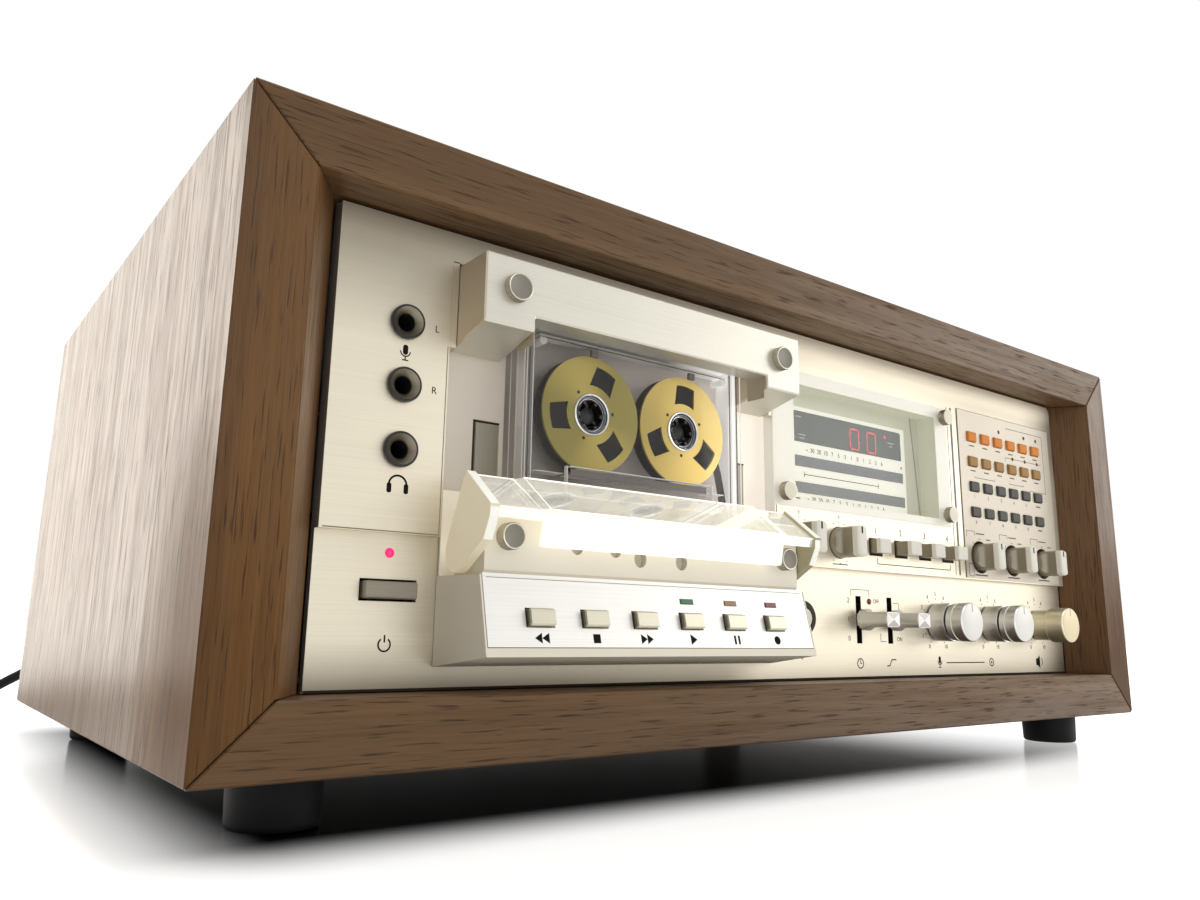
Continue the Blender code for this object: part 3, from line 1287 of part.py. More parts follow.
def display_panel():
    """Tray behind the window, with the raised screens of the counter and the two meters."""
    front = -PANEL_THICKNESS - GAP
    inner_x = WINDOW_HALF_WIDTH + TRAY_LIP
    inner_z = WINDOW_HALF_HEIGHT + TRAY_LIP

    def fill(bm):
        add_block(bm, (-inner_x - TRAY_RIM, inner_x + TRAY_RIM),
                  (front - TRAY_DEPTH - TRAY_BACK, front), (-inner_z - TRAY_RIM, inner_z + TRAY_RIM))

    def room(bm):
        add_block(bm, (-inner_x, inner_x), (front - TRAY_DEPTH, front + OVERRUN),
                  (-inner_z, inner_z))

    def screens(bm):
        ends = [share * WINDOW_HALF_WIDTH for share in SCREEN_END_SHARES]
        for low, high in SCREEN_SHARES:
            add_block(bm, ends, (front - TRAY_DEPTH - WELD, front - TRAY_DEPTH + SCREEN_RELIEF),
                      (low * WINDOW_HALF_HEIGHT, high * WINDOW_HALF_HEIGHT))

    tray = plain("display_panel", "display_grey", fill, location=place(DISPLAY_X, 0, WINDOW_Z))
    cut(tray, "room", room)
    join(tray, "screens", screens)


# Knobs, buttons, keys and levers

def level_knobs():
    for name, share in zip(("mic_level", "line_level"), LEVEL_SHARES):
        x = control_x(share)
        rear = ((LEVEL_SHAFT_RADIUS + GAP, LEVEL_SPLIT), (LEVEL_SHAFT_RADIUS + GAP, -SHAFT_BEHIND / 2),
                (LEVEL_SLEEVE_RADIUS, -SHAFT_BEHIND / 2), (LEVEL_SLEEVE_RADIUS, LEVEL_LIFT),
                (LEVEL_RADIUS, LEVEL_LIFT), (LEVEL_RADIUS, LEVEL_SPLIT - LEVEL_EDGE),
                (LEVEL_RADIUS - LEVEL_EDGE, LEVEL_SPLIT))
        plain(f"{name}_outer_knob", "chrome_knob",
              lambda bm: add_turned(bm, rear, Vector(), closed=True),
              location=place(x, 0, LOWER_ROW_Z), smooth=True)
        front = LEVEL_SPLIT + GAP
        outline = ((0, -SHAFT_BEHIND), (LEVEL_SHAFT_RADIUS, -SHAFT_BEHIND),
                   (LEVEL_SHAFT_RADIUS, front), (LEVEL_NECK_RADIUS, front),
                   (LEVEL_NECK_RADIUS, front + LEVEL_NECK), (LEVEL_RADIUS, front + LEVEL_NECK),
                   (LEVEL_RADIUS, LEVEL_REACH - LEVEL_EDGE),
                   (LEVEL_RADIUS - LEVEL_EDGE, LEVEL_REACH), (0, LEVEL_REACH))
        plain(f"{name}_inner_knob", "chrome_knob",
              lambda bm: add_turned(bm, outline, Vector()),
              location=place(x, 0, LOWER_ROW_Z), smooth=True)
    outline = ((0, -SHAFT_BEHIND), (LEVEL_SHAFT_RADIUS, -SHAFT_BEHIND),
               (LEVEL_SHAFT_RADIUS, LEVEL_LIFT), (OUTPUT_REAR_RADIUS, LEVEL_LIFT),
               (OUTPUT_REAR_RADIUS, LEVEL_SPLIT), (LEVEL_RADIUS, LEVEL_SPLIT + LEVEL_EDGE),
               (LEVEL_RADIUS, LEVEL_REACH - LEVEL_EDGE),
               (LEVEL_RADIUS - LEVEL_EDGE, LEVEL_REACH), (0, LEVEL_REACH))
    plain("output_level_knob", "gold_knob", lambda bm: add_turned(bm, outline, Vector()),
          location=place(control_x(LEVEL_SHARES[-1]), 0, LOWER_ROW_Z), smooth=True)


def add_flats(bm, radius, flat, foot_out, reach, upright):
    """Cuts on both sides of a round knob, run out in a quarter round at its foot."""
    side_depth = radius - flat
    outline = [(reach + OVERRUN, flat), (foot_out + side_depth, flat)]
    outline += [(foot_out + side_depth - side_depth * math.sin(a), radius - side_depth * math.cos(a))
                for a in (math.radians(90 * step / RUNOUT_STEPS)
                          for step in range(1, RUNOUT_STEPS + 1))]
    outline += [(foot_out, radius + OVERRUN), (reach + OVERRUN, radius + OVERRUN)]
    length = radius + OVERRUN
    for side in (-1, 1):
        if upright:
            rings = [[panel(side * off, out, end) for out, off in outline]
                     for end in (-length, length)]
        else:
            rings = [[panel(end, out, side * off) for out, off in outline]
                     for end in (-length, length)]
        add_loft(bm, rings)


def small_knob(name, x):
    reach = SMALL_KNOB_REACH
    outline = ((0, -SHAFT_BEHIND), (LEVEL_SHAFT_RADIUS, -SHAFT_BEHIND),
               (LEVEL_SHAFT_RADIUS, 0), (SMALL_KNOB_RADIUS, 0),
               (SMALL_KNOB_RADIUS, reach - SMALL_KNOB_EDGE),
               (SMALL_KNOB_RADIUS - SMALL_KNOB_EDGE, reach), (0, reach))
    knob = plain(name, "knob_grey", lambda bm: add_turned(bm, outline, Vector()),
                 location=place(x, 0, UPPER_ROW_Z), smooth=True)
    cut(knob, "flats", lambda bm: add_flats(bm, SMALL_KNOB_RADIUS, SMALL_KNOB_FLAT,
                                            SMALL_KNOB_FOOT, reach, True))


def small_knobs():
    names = ("pitch_knob", "bias_knob", "counter_selector", "display_selector", "mode_selector")
    for name, share in zip(names, SMALL_KNOB_SHARES):
        small_knob(name, control_x(share))


def tape_buttons():
    """Four latching buttons; the first one is pressed in."""
    for i, share in enumerate(TAPE_SHARES):
        reach = TAPE_REACH - (TAPE_LATCH if i == 0 else 0)
        half, rise = TAPE_WIDTH / 2, TAPE_HEIGHT / 2
        button = plain(f"tape_button_{i + 1}", "knob_grey",
                       lambda bm: add_block(bm, (-half, half), (-SHAFT_BEHIND, reach),
                                            (-rise, rise)),
                       location=place(control_x(share), 0, UPPER_ROW_Z))
        ease(button, BUTTON_EDGE)


def key_strip(name, finish_name, rows):
    """Keys of one colour on their shared carrier behind the panel."""
    middle = (KEY_ROWS_Z[rows[0]] + KEY_ROWS_Z[rows[-1]]) / 2
    front = -PANEL_THICKNESS - GAP
    half = (KEY_COLUMNS - 1) * KEY_PITCH_X / 2 + KEY_WIDTH / 2 + KEY_CARRIER_MARGIN
    rise = (KEY_ROWS_Z[rows[0]] - middle) + KEY_HEIGHT / 2 + KEY_CARRIER_MARGIN

    def fill(bm):
        add_block(bm, (-half, half), (front - KEY_CARRIER_THICKNESS, front), (-rise, rise))

    def keys(bm):
        for row in rows:
            z = KEY_ROWS_Z[row] - middle
            for column in range(KEY_COLUMNS):
                x = (column - (KEY_COLUMNS - 1) / 2) * KEY_PITCH_X
                add_block(bm, (x - KEY_WIDTH / 2, x + KEY_WIDTH / 2),
                          (front - WELD, RAISE + KEY_PROUD), (z - KEY_HEIGHT / 2, z + KEY_HEIGHT / 2))

    centre = KEY_X + (KEY_COLUMNS - 1) * KEY_PITCH_X / 2
    strip = plain(name, finish_name, fill, location=place(centre, 0, middle))
    join(strip, "keys", keys)
    ease(strip, BUTTON_EDGE)


def power_button():
    half, rise = POWER_WIDTH / 2, POWER_HEIGHT / 2
    button = plain("power_button", "knob_grey",
                   lambda bm: add_block(bm, (-half, half), (-POWER_BEHIND, POWER_PROUD),
                                        (-rise, rise)),
                   location=place(POWER_X, 0, POWER_Z))
    ease(button, BUTTON_EDGE)


def mute_button():
    sink = -MUTE_COLLAR_SINK
    outline = ((0, -POWER_BEHIND), (MUTE_RADIUS, -POWER_BEHIND), (MUTE_RADIUS, sink),
               (MUTE_CAP_RADIUS, sink), (MUTE_CAP_RADIUS, MUTE_PROUD - BUTTON_EDGE),
               (MUTE_CAP_RADIUS - BUTTON_EDGE, MUTE_PROUD), (0, MUTE_PROUD))
    plain("record_mute_button", "champagne_metal", lambda bm: add_turned(bm, outline, Vector()),
          location=place(MUTE_X, 0, LOWER_ROW_Z), smooth=True)


def jack_block():
    """Three sockets with their front nuts on one bracket behind the panel."""
    def barrels(bm):
        for i in range(3):
            seat = RAISE + GAP
            outline = ((0, -JACK_LENGTH), (JACK_BARREL_RADIUS, -JACK_LENGTH),
                       (JACK_BARREL_RADIUS, seat), (JACK_NUT_RADIUS, seat),
                       (JACK_NUT_RADIUS, seat + JACK_PROUD), (JACK_MOUTH_RADIUS, seat + JACK_PROUD),
                       (JACK_BORE_RADIUS, seat + JACK_PROUD - JACK_CONE),
                       (JACK_BORE_RADIUS, OVERRUN - JACK_LENGTH), (0, OVERRUN - JACK_LENGTH))
            add_turned(bm, outline, panel(0, 0, -i * JACK_PITCH), steps=SMALL_STEPS)

    def bracket(bm):
        back = -JACK_LENGTH - JACK_BRACKET_THICKNESS
        add_block(bm, (-JACK_BRACKET_HALF, JACK_BRACKET_HALF), (back, WELD - JACK_LENGTH),
                  (-2 * JACK_PITCH - JACK_BRACKET_HALF, JACK_BRACKET_HALF))

    block = plain("jack_block", "black_plastic", bracket, location=place(JACK_X, 0, JACK_TOP_Z))
    join(block, "barrels", barrels)


def lever(name, x):
    """Bat lever: thin stem from its pivot behind the panel, round handle with two flats."""
    pivot = -LEVER_PIVOT_BEHIND
    start = LEVER_HANDLE_START - pivot
    end = LEVER_REACH - pivot
    half, rise = LEVER_STEM_WIDTH / 2, LEVER_STEM_HEIGHT / 2

    def handle(bm):
        outline = ((0, start), (LEVER_RADIUS - SMALL_KNOB_EDGE, start),
                   (LEVER_RADIUS, start + SMALL_KNOB_EDGE), (LEVER_RADIUS, end - SMALL_KNOB_EDGE),
                   (LEVER_RADIUS - SMALL_KNOB_EDGE, end), (0, end))
        add_turned(bm, outline, Vector())

    bat = plain(name, "chrome_knob", handle, location=place(x, pivot, LOWER_ROW_Z), smooth=True)
    cut(bat, "flats", lambda bm: add_flats(bm, LEVER_RADIUS, LEVER_FLAT, start + LEVER_FOOT / 2,
                                           end, False))
    join(bat, "stem", lambda bm: add_block(bm, (-half, half), (-rise, start + WELD), (-rise, rise)))


# Rear panel and inner works

def rear_panel():
    half = CABINET_WIDTH / 2 - BOARD - GAP
    rise = CABINET_HEIGHT / 2 - BOARD - GAP

    def fill(bm):
        add_block(bm, (-half, half), (-REAR_THICKNESS, 0), (-rise, rise))

    def vents(bm):
        for i in range(VENT_COUNT):
            x = VENT_INSET - CABINET_WIDTH / 2 + i * VENT_PITCH
            add_block(bm, (x - VENT_WIDTH / 2, x + VENT_WIDTH / 2),
                      (-REAR_THICKNESS - OVERRUN, OVERRUN), (-VENT_HEIGHT / 2, VENT_HEIGHT / 2))
        add_turned(bm, [(GLAND_ROOT_RADIUS + GAP, out) for out in (-REAR_THICKNESS - OVERRUN, OVERRUN)],
                   panel(GLAND_X, 0, GLAND_Z - PANEL_Z), steps=SMALL_STEPS)

    def phonos(bm):
        back = -REAR_THICKNESS - PHONO_PROUD
        middle = -REAR_THICKNESS / 2
        outline = ((0, -WELD / 2), (PHONO_RADIUS, -WELD / 2), (PHONO_RADIUS, back),
                   (PHONO_BORE, back), (PHONO_BORE, middle), (0, middle))
        start = VENT_INSET - CABINET_WIDTH / 2 + (VENT_COUNT - 1) * VENT_PITCH + PHONO_ROOM
        for i in range(4):
            x = start + (i % 2) * PHONO_PITCH
            z = PHONO_Z - (i // 2) * PHONO_PITCH
            add_turned(bm, outline, panel(x, 0, z), steps=SMALL_STEPS)

    sheet = plain("rear_panel", "zinc_steel", fill, location=(0, REAR_Y - REAR_THICKNESS, PANEL_Z))
    cut(sheet, "vents", vents)
    join(sheet, "phonos", phonos)


def chassis():
    """Steel tray on the cabinet's floor, with the mechanism's bearing wall and board posts."""
    front_y = PANEL_Y + PANEL_THICKNESS + CHASSIS_FRONT
    back_y = REAR_Y - REAR_THICKNESS - GAP
    low = FLOOR_BOARD_Z - PANEL_Z
    floor_top = low + CHASSIS_SHEET
    front_out, back_out = PANEL_Y - front_y, PANEL_Y - back_y

    def fill(bm):
        add_block(bm, (-CHASSIS_HALF, CHASSIS_HALF), (back_out, front_out), (low, floor_top))

    def wall(bm):
        add_block(bm, (BAY_X - WALL_HALF, BAY_X + WALL_HALF),
                  (WALL_OUT - CHASSIS_SHEET, WALL_OUT), (floor_top - WELD, WALL_TOP_Z))

    def posts(bm):
        for x in board_corners_x():
            for out in board_corners_out():
                add_turned(bm, [(POST_RADIUS, h) for h in (floor_top - WELD, floor_top + POST_HEIGHT)],
                           panel(x, out, 0), axis="up", steps=SMALL_STEPS)

    def bores(bm):
        span = (WALL_OUT - CHASSIS_SHEET - OVERRUN, WALL_OUT + OVERRUN)
        for side in (-1, 1):
            add_turned(bm, [(SPINDLE_SHAFT_RADIUS + GAP, out) for out in span],
                       panel(BAY_X + side * HUB_PITCH / 2, 0, HUB_Z), steps=SMALL_STEPS)
        add_turned(bm, [(CAPSTAN_RADIUS + GAP, out) for out in span],
                   panel(BAY_X + CAPSTAN_X, 0, CAPSTAN_Z), steps=SMALL_STEPS)

    tray = plain("chassis", "zinc_steel", fill)
    join(tray, "wall", wall)
    join(tray, "posts", posts)
    cut(tray, "bores", bores)


def board_corners_x():
    return (BOARD_X[0] + 2 * POST_RADIUS, BOARD_X[1] - 2 * POST_RADIUS)


def board_corners_out():
    front = -BOARD_FRONT - 2 * POST_RADIUS
    return (front, -BOARD_FRONT - BOARD_DEPTH + 2 * POST_RADIUS)


def main_board():
    """Circuit board with its chips and capacitor cans."""
    low = FLOOR_BOARD_Z - PANEL_Z + CHASSIS_SHEET + POST_HEIGHT + GAP
    top = low + BOARD_SHEET
    width = BOARD_X[1] - BOARD_X[0]

    def fill(bm):
        add_block(bm, BOARD_X, (-BOARD_FRONT - BOARD_DEPTH, -BOARD_FRONT), (low, top))

    def parts(bm):
        for x_share, depth_share, wide, deep in CHIP_SHARES:
            x = BOARD_X[0] + x_share * width
            out = -BOARD_FRONT - depth_share * BOARD_DEPTH
            add_block(bm, (x - wide * width / 2, x + wide * width / 2),
                      (out - deep * BOARD_DEPTH / 2, out + deep * BOARD_DEPTH / 2),
                      (top - WELD, top + CHIP_HEIGHT))
        for x_share, depth_share in CAN_SHARES:
            centre = panel(BOARD_X[0] + x_share * width, -BOARD_FRONT - depth_share * BOARD_DEPTH, 0)
            add_turned(bm, [(CAN_RADIUS, h) for h in (top - WELD, top + CAN_HEIGHT)], centre,
                       axis="up", steps=SMALL_STEPS)

    board = plain("main_board", "board_green", fill)
    join(board, "parts", parts)


def power_transformer():
    wide, deep, high = CORE_SIZE
    low = FLOOR_BOARD_Z - PANEL_Z + CHASSIS_SHEET + GAP
    back = PANEL_Y - (REAR_Y - REAR_THICKNESS - CORE_REAR)
    middle = low + high / 2

    def fill(bm):
        add_block(bm, (CORE_X - wide / 2, CORE_X + wide / 2), (back, back + deep), (low, low + high))

    def windings(bm):
        half, rise = wide * WINDING_SHARE / 2, high * WINDING_SHARE / 2
        add_block(bm, (CORE_X - half, CORE_X + half),
                  (back - WINDING_REACH, back + deep + WINDING_REACH), (middle - rise, middle + rise))

    core = plain("power_transformer", "core_steel", fill)
    join(core, "windings", windings)


def capstan_flywheel():
    """Heavy flywheel behind the bearing wall, with the capstan shaft through to the cassette."""
    face = WALL_OUT - CHASSIS_SHEET - FLYWHEEL_BEHIND
    back = face - FLYWHEEL_THICKNESS
    web = face - FLYWHEEL_WEB
    rim = FLYWHEEL_RADIUS - FLYWHEEL_RIM
    outline = ((0, web - FLYWHEEL_WEB), (rim, web - FLYWHEEL_WEB), (rim, back),
               (FLYWHEEL_RADIUS, back), (FLYWHEEL_RADIUS, face), (CAPSTAN_RADIUS, face),
               (CAPSTAN_RADIUS, SHELL_FRONT_OUT - SHELL_WALL), (0, SHELL_FRONT_OUT - SHELL_WALL))
    plain("capstan_flywheel", "zinc_steel",
          lambda bm: add_turned(bm, outline, Vector(), steps=FINE_STEPS),
          location=place(BAY_X + CAPSTAN_X, 0, CAPSTAN_Z), smooth=True)


def head_block():
    """Carriage plate with the record head, erase head and two pinch rollers."""
    low = CARRIAGE_Z - CARRIAGE_SHEET

    def fill(bm):
        add_block(bm, (-CARRIAGE_HALF, CARRIAGE_HALF), (WALL_OUT + GAP, CARRIAGE_OUT),
                  (low, CARRIAGE_Z))

    def heads(bm):
        for x, (wide, deep) in ((0, HEAD_SIZE), (ERASE_SHARE * CARRIAGE_HALF, ERASE_SIZE)):
            outline = [(x - wide / 2, CARRIAGE_Z - WELD), (x + wide / 2, CARRIAGE_Z - WELD)]
            dome = wide * HEAD_DOME_SHARE
            outline += [(px, HEAD_TOP_Z - dome + pz * dome / (wide / 2))
                        for px, pz in arc((x, 0), wide / 2, 0, 180, 9)]
            add_loft(bm, [[panel(px, HEAD_OUT + out, pz) for px, pz in outline]
                          for out in (-deep / 2, deep / 2)])

    def rollers(bm):
        for side in (-1, 1):
            centre = panel(side * CAPSTAN_X, HEAD_OUT, HEAD_TOP_Z - ROLLER_RADIUS)
            outline = [(ROLLER_RADIUS, end) for end in (-ROLLER_WIDTH / 2, ROLLER_WIDTH / 2)]
            add_turned(bm, outline, centre, steps=SMALL_STEPS)

    block = plain("head_block", "zinc_steel", fill, location=place(BAY_X, 0, 0))
    join(block, "heads", heads)
    join(block, "rollers", rollers)


# Mains lead

def strain_relief():
    """Tapered gland through the rear panel."""
    root = -(REAR_THICKNESS + GAP)
    tip = GLAND_LENGTH
    outline = ((0, root - GLAND_FLANGE), (GLAND_FLANGE_RADIUS, root - GLAND_FLANGE),
               (GLAND_FLANGE_RADIUS, root), (GLAND_ROOT_RADIUS, root), (GLAND_ROOT_RADIUS, GAP),
               (GLAND_FLANGE_RADIUS, GAP), (GLAND_FLANGE_RADIUS, GLAND_FLANGE),
               (GLAND_ROOT_RADIUS, GLAND_FLANGE + GAP), (GLAND_TIP_RADIUS, tip), (0, tip))
    mirrored = [(radius, -height) for radius, height in outline]
    plain("strain_relief", "black_rubber",
          lambda bm: add_turned(bm, mirrored, Vector(), steps=SMALL_STEPS),
          location=(GLAND_X, REAR_Y, GLAND_Z), smooth=True)


def smooth_route(points, spacing):
    """Evenly spaced points on a smooth curve through the given ones."""
    ends = [2 * points[0] - points[1]] + points + [2 * points[-1] - points[-2]]
    fine = []
    for a, b, c, d in zip(ends, ends[1:], ends[2:], ends[3:]):
        for step in range(CURVE_STEPS):
            t = step / CURVE_STEPS
            fine.append(0.5 * (2 * b + (c - a) * t + (2 * a - 5 * b + 4 * c - d) * t ** 2
                               + (3 * b - a - 3 * c + d) * t ** 3))
    fine.append(points[-1])
    lengths = [(q - p).length for p, q in zip(fine, fine[1:])]
    count = max(2, round(sum(lengths) / spacing))
    step = sum(lengths) / count
    route, walked, target = [fine[0]], 0.0, step
    for p, q, length in zip(fine, fine[1:], lengths):
        while walked + length >= target and len(route) < count:
            route.append(p.lerp(q, (target - walked) / length))
            target += step
        walked += length
    return route + [fine[-1]]


def tube(name, points, sides_resolution):
    """Round lead along the points, with filled ends."""
    curve = bpy.data.curves.new(name, "CURVE")
    curve.dimensions = "3D"
    curve.bevel_depth = CORD_DIAMETER / 2
    curve.bevel_resolution = sides_resolution
    curve.use_fill_caps = True
    spline = curve.splines.new("POLY")
    spline.points.add(len(points) - 1)
    for slot, point in zip(spline.points, points):
        slot.co = (*point, 1)
    item = bpy.data.objects.new(name, curve)
    curve.materials.append(finish("black_rubber"))
    bpy.context.scene.collection.objects.link(item)


def cord_points():
    tip = Vector((GLAND_X, GLAND_TIP_Y, 0))
    start = tip + Vector((0, 0, GLAND_Z))
    route = [start] + [tip + Vector(point) for point in CORD_ROUTE] + [coil_start()]
    return smooth_route(route, 2 * CORD_DIAMETER)


def coil_start():
    """End of the free stretch, a straight lead-in away from the outer turn."""
    return Vector((COIL_X + CORD_DIAMETER + GAP, COIL_Y + COIL_OUTER, CORD_DIAMETER / 2))


def coil_radius(turn):
    """Radius after so many turns: in, out, in and out again at a steady rate."""
    layer_turns = COIL_TURNS / COIL_LAYERS
    layer, part = divmod(turn, layer_turns)
    inward = COIL_STEP * (part if layer % 2 == 0 else layer_turns - part)
    return COIL_OUTER - inward


def coil_height(turn):
    """Height after so many turns: a layer is climbed in the half turn where the spiral turns."""
    layer_turns = COIL_TURNS / COIL_LAYERS
    climbed = 0.0
    for layer in range(1, COIL_LAYERS):
        passed = turn - layer * layer_turns
        climbed += min(1.0, max(0.0, passed / CLIMB_TURNS + 1 / 2))
    return CORD_DIAMETER / 2 + COIL_STEP * climbed


def coil_points():
    """Lead-in, the turns, and the tail that comes down to the plug."""
    count = round(COIL_TURNS * COIL_POINTS)
    points = [Vector((COIL_X + CORD_DIAMETER, COIL_Y + COIL_OUTER, CORD_DIAMETER / 2))]
    for i in range(count + 1):
        turn = COIL_TURNS * i / count
        angle = math.radians(90) + 2 * math.pi * turn
        radius = coil_radius(turn)
        points.append(Vector((COIL_X + radius * math.cos(angle),
                              COIL_Y + radius * math.sin(angle), coil_height(turn))))
    top = points[-1].z
    for i in range(1, TAIL_STEPS + 1):
        share = i / TAIL_STEPS
        drop = (top - plug_height()) * (3 * share ** 2 - 2 * share ** 3)
        points.append(Vector((points[count + 1].x, COIL_Y - share * TAIL_LENGTH, top - drop)))
    points.append(points[-1] - Vector((0, CORD_DIAMETER, 0)))
    return points


def plug_height():
    return PLUG_THICKNESS / 2


def least_gap(points):
    """Smallest clear distance of the coil from itself."""
    near = 3 * COIL_POINTS // 4
    least = math.inf
    for i, point in enumerate(points):
        for other in points[i + near:]:
            least = min(least, (point - other).length)
    return least - CORD_DIAMETER


def plug():
    """Two-pin plug lying on its flat side, cable end towards the coil."""
    end = coil_points()[-1]
    neck = PLUG_NECK

    def fill(bm):
        half, rise = PLUG_WIDTH / 2, PLUG_THICKNESS / 2
        shoulder = (half * PLUG_SHOULDER_SHARES[0], rise * PLUG_SHOULDER_SHARES[1])
        stations = ((0, PLUG_NECK_RADIUS, PLUG_NECK_RADIUS), (neck, PLUG_NECK_RADIUS, PLUG_NECK_RADIUS),
                    (neck + PLUG_NECK / 2, *shoulder), (neck + PLUG_NECK, half, rise),
                    (neck + PLUG_LENGTH, half, rise))
        rings = []
        for along, wide, high in stations:
            ring = []
            for step in range(SMALL_STEPS):
                angle = 2 * math.pi * (step + 0.5) / SMALL_STEPS
                squareness = PLUG_SQUARENESS if high == rise else 1
                across = math.copysign(abs(math.cos(angle)) ** squareness, math.cos(angle))
                up = math.copysign(abs(math.sin(angle)) ** squareness, math.sin(angle))
                ring.append(Vector((wide * across, -along, high * up)))
            rings.append(ring)
        add_loft(bm, rings)

    def prongs(bm):
        start = neck + PLUG_LENGTH
        for side in (-1, 1):
            x = side * PRONG_PITCH / 2
            half, rise = PRONG_THICKNESS / 2, PRONG_WIDTH / 2
            add_block(bm, (x - half, x + half), (start - WELD, start + PRONG_LENGTH), (-rise, rise))

    body = plain("mains_plug", "black_rubber", fill, location=end - Vector((0, GAP, 0)))
    join(body, "prongs", prongs)


def mains_lead():
    strain_relief()
    tube("mains_cord", cord_points(), 2)
    loops = coil_points()
    tube("cord_coil", loops, 1)
    plug()
    lengths = [sum((q - p).length for p, q in zip(run, run[1:])) for run in (cord_points(), loops)]
    print(f"lead: {lengths[0]:.3f} m free, {lengths[1]:.3f} m coiled, "
          f"least gap {least_gap(loops) * 1000:.2f} mm")


def main():
    clear_scene()
    cabinet()
    faceplate()
    cassette_well()
    cassette_bridge()
    cassette_shell()
    reel("reel_left", -1, LEFT_REEL_TURN)
    reel("reel_right", 1, RIGHT_REEL_TURN)
    spindle("spindle_left", -1)
    spindle("spindle_right", 1)
    control_housing()
    control_fascia()
    transport_buttons()
    cover_frame()
    clear_cover()
    display_glass()
    display_panel()
    level_knobs()
    small_knobs()
    tape_buttons()
    key_strip("program_keys", "orange_plastic", (0,))
    key_strip("memory_keys", "tan_plastic", (1,))
    key_strip("number_keys", "grey_plastic", (2, 3))
    power_button()
    mute_button()
    jack_block()
    for name, share in zip(("timer_lever", "filter_lever"), LEVER_SHARES):
        lever(name, control_x(share))
    rear_panel()
    chassis()
    main_board()
    power_transformer()
    capstan_flywheel()
    head_block()
    mains_lead()


main()
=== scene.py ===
import math

import bmesh
import bpy
from mathutils import Matrix, Vector


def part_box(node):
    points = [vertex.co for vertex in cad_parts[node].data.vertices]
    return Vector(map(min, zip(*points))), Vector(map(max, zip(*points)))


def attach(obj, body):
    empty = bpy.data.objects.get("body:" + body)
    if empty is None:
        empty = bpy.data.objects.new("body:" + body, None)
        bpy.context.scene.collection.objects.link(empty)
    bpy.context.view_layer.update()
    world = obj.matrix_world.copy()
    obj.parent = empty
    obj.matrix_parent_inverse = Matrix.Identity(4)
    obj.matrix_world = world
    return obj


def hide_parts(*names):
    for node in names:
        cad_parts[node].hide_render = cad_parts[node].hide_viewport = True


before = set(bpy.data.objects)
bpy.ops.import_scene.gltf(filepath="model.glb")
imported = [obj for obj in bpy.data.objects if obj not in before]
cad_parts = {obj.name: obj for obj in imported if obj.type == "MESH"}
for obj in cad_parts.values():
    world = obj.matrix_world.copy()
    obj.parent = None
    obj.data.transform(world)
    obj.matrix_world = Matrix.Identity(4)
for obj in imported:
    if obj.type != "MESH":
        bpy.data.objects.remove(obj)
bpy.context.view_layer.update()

# Shapes are drawn in panel millimetres: x to the right of the panel's middle, out towards the viewer from
# its lower plane, z up from its middle. Materials read world metres.
MM = 0.001
PANEL_Y = -0.13785
PANEL_Z = 0.10865
FRONT_Y = -0.15595
REAR_Y = 0.15385
BAY = -94.6             # middle of the cassette bay
BAY_X = BAY * MM
LOWER_ROW = -48.2       # levers, level knobs and mute button
UPPER_ROW = -16.2       # small knobs, tape buttons and selectors
LEVERS = (35.2, 57.0)
LEVEL_KNOBS = (92.8, 137.4, 182.0)
SMALL_KNOBS = (-5.3, 20.4)
SELECTORS = (128.0, 157.8, 187.6)
TAPE_BUTTONS = [45.4 + 18.4 * i for i in range(4)]
SOCKET_X = -184.7
PLANE = 3.01            # just in front of the panel's raised plane
REEL_X, REEL_Z = 21.2, 18.5     # hubs, from the bay's middle and the panel's


def P(x, out, z):
    """World point from panel millimetres."""
    return Vector((x * MM, PANEL_Y - out * MM, PANEL_Z + z * MM))


def B(x, out, z):
    """World point from the bay's own x."""
    return P(BAY + x, out, z)


def add_object(name, data):
    obj = bpy.data.objects.new(name, data)
    bpy.context.scene.collection.objects.link(obj)
    return obj


def add_camera():
    """Camera of the photograph: 1200 x 900, 940.2 pixels focal length."""
    data = bpy.data.cameras.new("camera")
    data.sensor_width, data.lens, data.clip_start = 36, 28.205, 0.01
    data.shift_x, data.shift_y = 0.00065, -0.01202
    camera = add_object("camera", data)
    turn = Matrix.Translation((-0.30491, FRONT_Y - 0.24354, PANEL_Z - 0.05494))
    for degrees, axis in ((-37.1, "Z"), (101.78, "X"), (0.86, "Z")):
        turn = turn @ Matrix.Rotation(math.radians(degrees), 4, axis)
    camera.matrix_world = turn
    bpy.context.scene.camera = camera


# Materials

